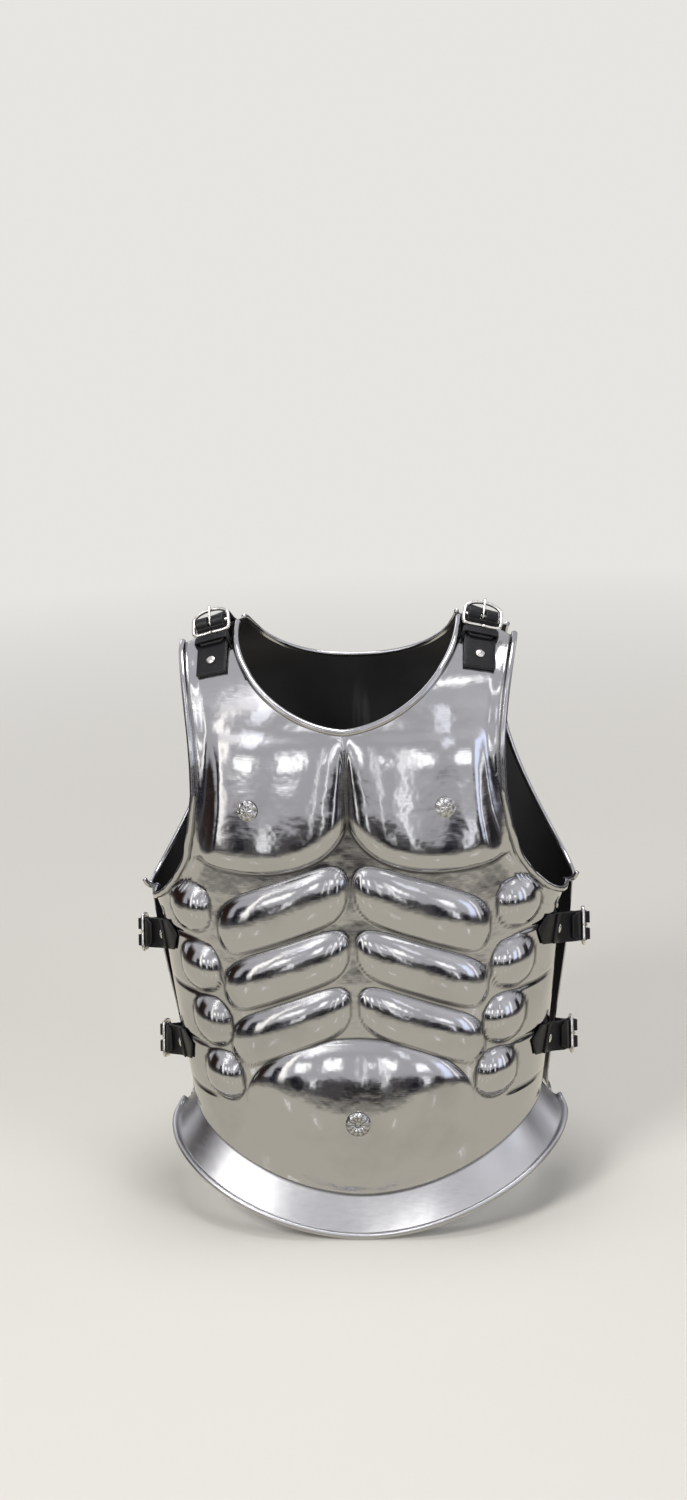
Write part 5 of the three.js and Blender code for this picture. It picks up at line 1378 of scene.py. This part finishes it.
def strap_mesh(chape, heel, matrix):
    """One strap from its tail on the chape, up over the middle bar and down under the arch, to its heel."""
    rising = [strap_station(matrix, s, n, front_reach) for s, n in strap_up_shares]
    falling = [strap_station(matrix, s, n, arch_reach) for s, n in strap_down_shares]
    stations = refine([*tail_stations(chape), *rising, *falling, *heel], 6)
    s = (stations[0] - matrix[0]) @ matrix[2]
    return slotted(stations, (s > -slot_front) & (s < slot_back))


print("under a bar the strap's middle lies", strap_under_bar, "mm deep and the chape's", chape_under_bar)


# %% Wire buckle and prong
def buckle(name, body, matrix):
    """Bent wire whose ends meet in the front bar, with a middle bar let into it."""
    half_line = [(joint_gap / 2, -front_reach)]
    half_line += [(buckle_half_width - buckle_corner * a, -front_reach + buckle_corner * b)
                  for a, b in ((1, 0), (0.25, 0.35), (0, 1.2))]
    half_line += [(buckle_half_width, 0)]
    arch = [(buckle_half_width * math.cos(turn), arch_foot + (arch_reach - arch_foot) * math.sin(turn))
            for turn in np.linspace(0, math.pi, 11)[1:-1]]
    flat = half_line + arch + [(-x, y) for x, y in half_line[::-1]]
    line = catmull([local(matrix, y, 0, x) for x, y in flat], [6] * (len(flat) - 1))
    bar = [local(matrix, 0, 0, x) for x in np.linspace(-buckle_half_width, buckle_half_width, 5)]
    mesh = joined(tube(line, wire_radius, 18), tube(bar, bar_radius, 18))
    settle(make_mesh(name + "_wire", *mesh, (nickel,)), body, "nickel", name)


def prong(name, body, matrix):
    """Wire with an open eye round the middle bar and a tapered tongue that rests on the arch."""
    eye = bar_radius + touch_gap + prong_radius
    tip_level = wire_radius + touch_gap + prong_radius
    flat = [(eye * math.cos(turn), eye * math.sin(turn)) for turn in np.radians((330, 300, 270, 225, 180, 135, 90))]
    flat += [(arch_reach / 3, tip_level), (arch_reach + wire_radius, tip_level)]
    line = catmull([local(matrix, y, z) for y, z in flat], [5] * 7 + [10])
    settle(make_mesh(name + "_wire", *tube(line, prong_radius, 16, taper=0.12), (nickel,)), body, "nickel", name)


def rotated(vector, axis, angle):
    """Rodrigues: v cos + (k x v) sin + k (k.v)(1 - cos)."""
    return (vector * math.cos(angle) + np.cross(axis, vector) * math.sin(angle)
            + axis * np.dot(axis, vector) * (1 - math.cos(angle)))


def fit_out(place, suffix, chape, heel, matrix, strap_body, strap_rivet, chape_rivet):
    """The six pieces that every set has. A rivet is the place of its hole and the leather under its head."""
    strap = leather_piece(f"{place}_strap_band_{suffix}", *strap_mesh(chape, heel, matrix),
                          (f"{place}_strap_{suffix}",), strap_body)
    leather_piece(f"{place}_chape_fold_{suffix}", *folded_chape(chape, matrix),
                  (f"{place}_chape_{suffix}",), "breast")
    rivet(f"{place}_strap_rivet_{suffix}", "back", *strap_rivet)
    rivet(f"{place}_chape_rivet_{suffix}", "breast", *chape_rivet)
    buckle(f"{place}_buckle_{suffix}", f"buckle_{place}_{suffix}", matrix)
    prong(f"{place}_prong_{suffix}", f"prong_{place}_{suffix}", matrix)
    print(place, suffix, "bar at", [round(float(v), 2) for v in matrix[0]])
    return strap


print("buckle", 2 * buckle_half_width, "by", front_reach + arch_reach, "mm from wire to wire")

# %% Shoulder sets
hands = ((1, "left"), (-1, "right"))
shoulder_rivet_drop, shoulder_foot, buckle_tilt, chape_tail = 3.3, 34, 0.32, 16
back_rivet_y, back_tongue_y, strap_heel = 62, 34, 11
keeper_width, keeper_wall, keeper_under, keeper_slack, keeper_foot, tail_foot = 8, 1.8, 1, 0.5, 7.5, 14
keeper_corner, keeper_lap, keeper_edge = 2.2, 2, 0.4


def back_height_at(x, y):
    """The unrolled height at which the back tongue reaches a y."""
    full = back_depth * depth_share(angle_of(np.array(abs(x) / half_width(-spring_drop, BACK))))
    return float(-spring_drop + rise_at(x) * np.arccos(clamp((y - edge_y(BACK)) / full)))


def keeper(name, frame_at, raise_by):
    """A thin loop of leather round strap and chape: a band bent along a rounded oblong."""
    point, normal, up = frame_at
    over = -unit(np.cross(normal, up))
    reach = chape_width / 2 + keeper_slack + keeper_wall / 2
    low = touch_gap + keeper_under / 2
    high = touch_gap + raise_by + 2 * chape_layer + 2 * touch_gap + strap_thickness + 2 * touch_gap + keeper_wall / 2
    flat = [(keeper_lap, low)]
    for x_sign, level, start in ((1, low, 270), (1, high, 0), (-1, high, 90), (-1, low, 180)):
        turns = np.radians(np.linspace(start, start + 90, 5))
        middle_x = x_sign * (reach - keeper_corner)
        middle_z = level + (keeper_corner if level == low else -keeper_corner)
        flat += [(middle_x + keeper_corner * math.cos(turn), middle_z + keeper_corner * math.sin(turn))
                 for turn in turns]
    flat += [(-keeper_lap, low), (keeper_lap - 0.4, low + fold_gap)]
    flat = np.array(flat)
    line = point + flat[:, :1] * over + flat[:, 1:] * normal
    tangent = unit(np.gradient(line, axis=0))
    outward = np.cross(tangent, up)
    thin = np.where(flat[:, 1] < low + 0.5, keeper_under / 2, keeper_wall / 2)
    mesh, marks = band(line, outward, np.full(len(line), keeper_width / 2), thin, thin, keeper_edge)
    leather_piece(name + "_loop", mesh, marks, (name,), "breast")


def shoulder_set(hand, suffix):
    """A shoulder's set: the buckle stands tilted over the end of the front tongue."""
    x = hand * strap_line_x
    rivet_height = float(z_to_height(np.array(x), np.array(-shoulder_rivet_drop)))
    foot_height = rivet_height + shoulder_foot
    raise_by = keeper_under + 2 * touch_gap

    def at(height):
        return plate_frame(FRONT, x, height)

    def behind(y):
        return plate_frame(BACK, x, back_height_at(x, y))

    place, normal, way_up = at(foot_height)
    over = -unit(np.cross(normal, way_up))
    up, out = rotated(way_up, over, buckle_tilt), rotated(normal, over, buckle_tilt)
    bar_lift = touch_gap + raise_by + chape_under_bar + chape_layer
    matrix = (place + normal * bar_lift + up * front_reach, over, up, out)
    half, seat = chape_width / 2, chape_lift + front_seat
    chape = chape_controls([
        on_plate(at(height), lift, half, chape_layer, chape_layer, steps) for height, lift, steps in (
            (rivet_height - chape_tail, seat, 2), (rivet_height, seat, 2),
            (foot_height - tail_foot, chape_lift + raise_by, 1),
            (foot_height - tail_foot / 2, chape_lift + raise_by, 1))
    ], matrix)
    heel_end = back_rivet_y + strap_heel
    heel = [on_plate(behind(y), lift, strap_width / 2 - cut, strap_layer, strap_layer) for y, lift, cut in (
        (back_tongue_y + strap_corner, strap_lift + twist_room, 0),
        (back_rivet_y - strap_heel, strap_lift + twist_room, 0), (back_rivet_y, strap_lift + twist_room, 0),
        (heel_end - strap_corner, strap_lift, 0), (heel_end, strap_lift, strap_corner))]
    strap = fit_out("shoulder", suffix, chape, heel, matrix, None,
                    (behind(back_rivet_y), strap_lift + strap_layer + twist_room),
                    (at(rivet_height), seat + chape_layer))
    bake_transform(strap)
    keeper("shoulder_keeper_" + suffix, at(foot_height - keeper_foot), raise_by)


for hand, suffix in hands:
    shoulder_set(hand, suffix)

# %% Side sets
side_drop_shares, side_rivet_y, side_fall, side_back_y = (0.6167, 0.8687), -25, 0.33, 60
side_bulge, side_tail, side_point, side_step, side_split = 30, 33, 9, 8, 0.47


def x_at_y(side, y, z):
    """x on the body form where it reaches a y: half width times (1 - share^power)^(1/power)."""
    share = clamp((y - edge_y(side)) * side / depth(z, side))
    return float(half_width(z, side) * (1 - share ** section_power) ** (1 / section_power))


def side_set(hand, drop_share, suffix):
    """A side's set: the buckle stands out from the gap between the plates, on the straight way across it."""
    def at(side, y):
        z = -drop_share * hip_drop - side_fall * (y - side_rivet_y)
        return plate_frame(side, hand * x_at_y(side, y, z), z)

    front_at, back_at = at(FRONT, side_rivet_y), at(BACK, side_back_y)
    up = unit(back_at[0] - front_at[0])
    along = unit(np.cross(up, (hand, 0, 0)))
    out = np.cross(along, up)
    matrix = (mix(front_at[0], back_at[0], side_split) + out * side_bulge, along, up, out)
    half, seat = chape_width / 2, chape_lift + front_seat
    chape = chape_controls([
        *(on_plate(at(FRONT, side_rivet_y + run), seat, width, chape_layer, above, steps)
          for run, above, width, steps in (
              (-side_tail, 0, strap_layer, 1), (side_point - side_tail, 0, half, 2),
              (-side_step - touch_gap / 2, 0, half, 1), (-side_step, chape_layer, half, 1),
              (0, chape_layer, half, 1), (side_step, chape_layer, half, 3))),
        chape_station(matrix, *side_dip_shares),
    ], matrix)
    heel = [on_plate(at(BACK, side_back_y + run), strap_lift + back_seat, strap_width / 2 - cut,
                     strap_layer, strap_layer)
            for run, cut in ((-strap_heel, 0), (0, 0), (strap_heel - strap_corner, 0), (strap_heel, strap_corner))]
    fit_out("side", suffix, chape, heel, matrix, "back",
            (back_at, strap_lift + strap_layer + back_seat), (front_at, seat + chape_layer))


for hand, suffix in hands:
    for level, share in zip(("upper_", "lower_"), side_drop_shares):
        side_set(hand, share, level + suffix)

# %% [markdown]
# ## Stage and light
# A mirror shows what stands round it, so polished steel is lit by what it reflects. A wide picture could
# be wrapped round the scene, but then nothing in it could be moved. So bands and windows that only glossy
# rays can see stand round the object like the walls of a studio: dark at the height of the eye, bright
# high up. They throw no light and no shadow. The floor is plain and pale, and far away it takes the pale
# colour of the world, so that no horizon shows.

# %% Floor and world
def stage_mesh(name, points, quads, material, marks=None):
    piece = make_mesh(name, points, quads, (), (material,), marks=marks)
    return piece


floor_z = cad_box[0][2] / MM - 0.5
rings = np.concatenate([[1], np.geomspace(60, 40000, 22)])[:, None]
turns = np.radians(np.arange(0, 360, 6))
floor_points = np.stack(np.broadcast_arrays(rings * np.cos(turns), rings * np.sin(turns), floor_z), -1)
number = np.arange(rings.size * turns.size).reshape(rings.size, -1)
pale_paint = Shader("pale_paint", Metallic=0.0, Roughness=1.0, Specular_IOR_Level=0.0)
distance = pale_paint.node("ShaderNodeVectorMath", {"operation": "LENGTH"}, out="Value", in_0=pale_paint.place)
far = distance.between(0.4, 3.0)  # metres from the middle of the floor
seen = pale_paint.node("ShaderNodeLightPath", out="Is Camera Ray")
painted = pale_paint.tint(pale_paint.noise(1.3, 3.0), (0.67, 0.65, 0.615), (0.71, 0.69, 0.655))
pale_paint.set(
    Base_Color=pale_paint.node("ShaderNodeMix", {"data_type": "RGBA"}, out=2,
                               in_0=far, in_6=painted, in_7=(0, 0, 0, 1)),
    Emission_Color=pale_paint.tint(far * seen, (0, 0, 0), (0.80, 0.785, 0.755)),
    Emission_Strength=1.0,
)
floor = stage_mesh("pale_floor", floor_points, grid_quads(number, ring=True)[:, ::-1], pale_paint.material)
floor.visible_glossy = False

world = bpy.data.worlds.new("soft_world")
bpy.context.scene.world = world
world.use_nodes = True
world_tree = world.node_tree
background = world_tree.nodes["Background"]
rays = world_tree.nodes.new("ShaderNodeLightPath")
seen = sum((Socket(world_tree, rays.outputs[key]) for key in ("Is Glossy Ray", "Is Transmission Ray")),
           Socket(world_tree, rays.outputs["Is Camera Ray"])).between(0.0, 1.0)
background.inputs["Color"].default_value = (0.842, 0.826, 0.795, 1)
world_light, added_where_seen = 0.38, 0.57
plug(world_tree, background.inputs["Strength"], seen * added_where_seen + world_light)
print("floor at", round(floor_z, 1), "mm")

# %% Cards for the reflections
cards_centre = np.array((0, -60, -280))


def card(name, azimuths, elevations, glow, radius):
    """A patch of a sphere round the object, seen by glossy rays alone; angles in degrees, 0 in front.
    A patch that doesn't go all round fades towards its edges."""
    over, up = np.meshgrid(np.linspace(0, 1, 37), np.linspace(0, 1, 13))
    turn, tilt = np.radians(mix(*azimuths, over)), np.radians(mix(*elevations, up))
    ways = np.stack([np.sin(turn) * np.cos(tilt), -np.cos(turn) * np.cos(tilt), np.sin(tilt)], -1)
    quads = grid_quads(np.arange(turn.size).reshape(turn.shape))[:, ::-1]
    fade = smooth(np.minimum(over, 1 - over) * 4) * smooth(np.minimum(up, 1 - up) * 4)
    glowing = Shader(name + "_glow", Metallic=0.0, Roughness=1.0, Specular_IOR_Level=0.0)
    glowing.set(Base_Color=(0, 0, 0, 1), Emission_Color=(*glow, 1), Emission_Strength=1.0)
    if azimuths[1] - azimuths[0] < 360:
        glowing.set(Alpha=glowing.mark("fade"))
    piece = stage_mesh(name, cards_centre + radius * ways, quads, glowing.material, {"fade": fade.ravel()})
    for ray in ("camera", "diffuse", "transmission", "volume_scatter", "shadow"):
        setattr(piece, "visible_" + ray, False)


cards = [
    ("far_floor", (-180, 180), (-89, -16), (0.70, 0.655, 0.55), 3150),
    ("far_skirting", (-180, 180), (-16, -12.5), (0.34, 0.32, 0.28), 3150),
    ("far_dark_band", (-180, 180), (-12.5, -1), (0.085, 0.080, 0.082), 3150),
    ("far_wall", (-180, 180), (-1, 32), (0.62, 0.61, 0.63), 3150),
    ("far_ceiling", (-180, 180), (32, 89), (0.68, 0.675, 0.70), 3150),
    ("brown_screen", (-112, -68), (-14, 34), (0.030, 0.017, 0.012), 2950),
    ("dark_screen_left", (-62, -47), (-13, 17), (0.012, 0.013, 0.026), 2950),
    ("dark_screen_near", (-40, -29), (-13, 3), (0.012, 0.012, 0.018), 2950),
    ("dark_screen_low", (-14, 6), (-13, -5), (0.018, 0.017, 0.018), 2950),
    ("dark_screen_right", (17, 28), (-13, 3), (0.014, 0.014, 0.024), 2950),
    ("dark_screen_far_right", (36, 46), (-13, 4), (0.018, 0.016, 0.020), 2950),
    ("dark_screen_side", (84, 106), (-14, 26), (0.022, 0.018, 0.020), 2950),
    ("lit_screen_left", (-49, -41), (-11, 36), (2.0, 1.95, 1.85), 2800),
    ("window_left", (-38, -26), (5, 17), (2.1, 2.1, 2.05), 2800),
    ("lamp_row_left", (-25, -20), (-10, 1), (1.5, 1.5, 1.5), 2800),
    ("window_near_left", (-20, -12), (5, 20), (2.3, 2.3, 2.3), 2800),
    ("streak_middle", (-4.5, -2), (-9, 24), (1.5, 1.5, 1.5), 2750),
    ("window_middle", (-1, 3), (8, 15), (2.0, 2.0, 2.0), 2800),
    ("streak_near_right", (6, 9), (-11, 26), (1.8, 1.8, 1.8), 2750),
    ("window_near_right", (9, 16), (6, 21), (2.3, 2.3, 2.3), 2800),
    ("window_right", (26, 38), (6, 17), (2.0, 2.0, 2.05), 2800),
    ("lit_gap_right", (29, 34), (-11, 2), (1.5, 1.5, 1.55), 2800),
    ("window_blue", (46, 62), (-7, 26), (1.3, 1.4, 1.75), 2800),
    ("window_far_right", (65, 73), (-10, 34), (1.6, 1.6, 1.65), 2800),
    ("ceiling_lamp_left", (-62, -14), (52, 58), (2.2, 2.2, 2.2), 2800),
    ("ceiling_lamp_right", (16, 66), (50, 56), (2.2, 2.2, 2.2), 2800),
    ("window_high_left", (-36, -27), (22, 40), (1.5, 1.5, 1.6), 2800),
    ("window_high_right", (20, 28), (20, 38), (1.4, 1.4, 1.5), 2800),
    ("rear_window_left", (-162, -140), (8, 40), (1.7, 1.7, 1.8), 2800),
    ("rear_lamp", (-124, -120), (-6, 30), (1.5, 1.5, 1.5), 2800),
    ("rear_window_right", (120, 134), (0, 36), (1.4, 1.4, 1.5), 2800),
    ("rear_dark_screen", (152, 172), (-14, 16), (0.022, 0.018, 0.020), 2950),
    ("floor_glint_far_left", (-46, -44.6), (-29, -21), (1.7, 1.7, 1.7), 2800),
    ("floor_glint_left", (-29, -27.6), (-33, -24), (1.6, 1.6, 1.6), 2800),
    ("floor_glint_middle", (-6, -4.8), (-36, -27), (1.6, 1.6, 1.6), 2800),
    ("floor_glint_right", (15, 16.3), (-32, -23), (1.6, 1.6, 1.6), 2800),
    ("floor_glint_far_right", (38, 39.4), (-29, -20), (1.7, 1.7, 1.7), 2800),
]
for patch in cards:
    card(*patch)
print(len(cards), "cards")


# %% Soft lamps
def area_lamp(name, place, aim_at, size, watts, colour=(1, 1, 1)):
    """A square soft lamp that looks at a point."""
    lamp = bpy.data.lights.new(name, "AREA")
    lamp.size, lamp.energy, lamp.color = size, watts, colour
    holder = bpy.data.objects.new(name, lamp)
    bpy.context.scene.collection.objects.link(holder)
    way = Vector(aim_at) - Vector(place)
    holder.matrix_world = Matrix.Translation(place) @ way.to_track_quat("-Z", "Y").to_matrix().to_4x4()


area_lamp("key_lamp", (-1.5, -2.1, 1.9), (0, 0, -0.3), 0.9, 60, (1.0, 0.985, 0.96))
area_lamp("fill_lamp", (2.2, -1.8, 1.2), (0, 0, -0.3), 1.2, 28, (0.95, 0.97, 1.0))
area_lamp("top_lamp", (0.1, 0.1, 2.2), (0, 0, -0.2), 1.0, 30)
print(len(bpy.data.lights), "lamps")
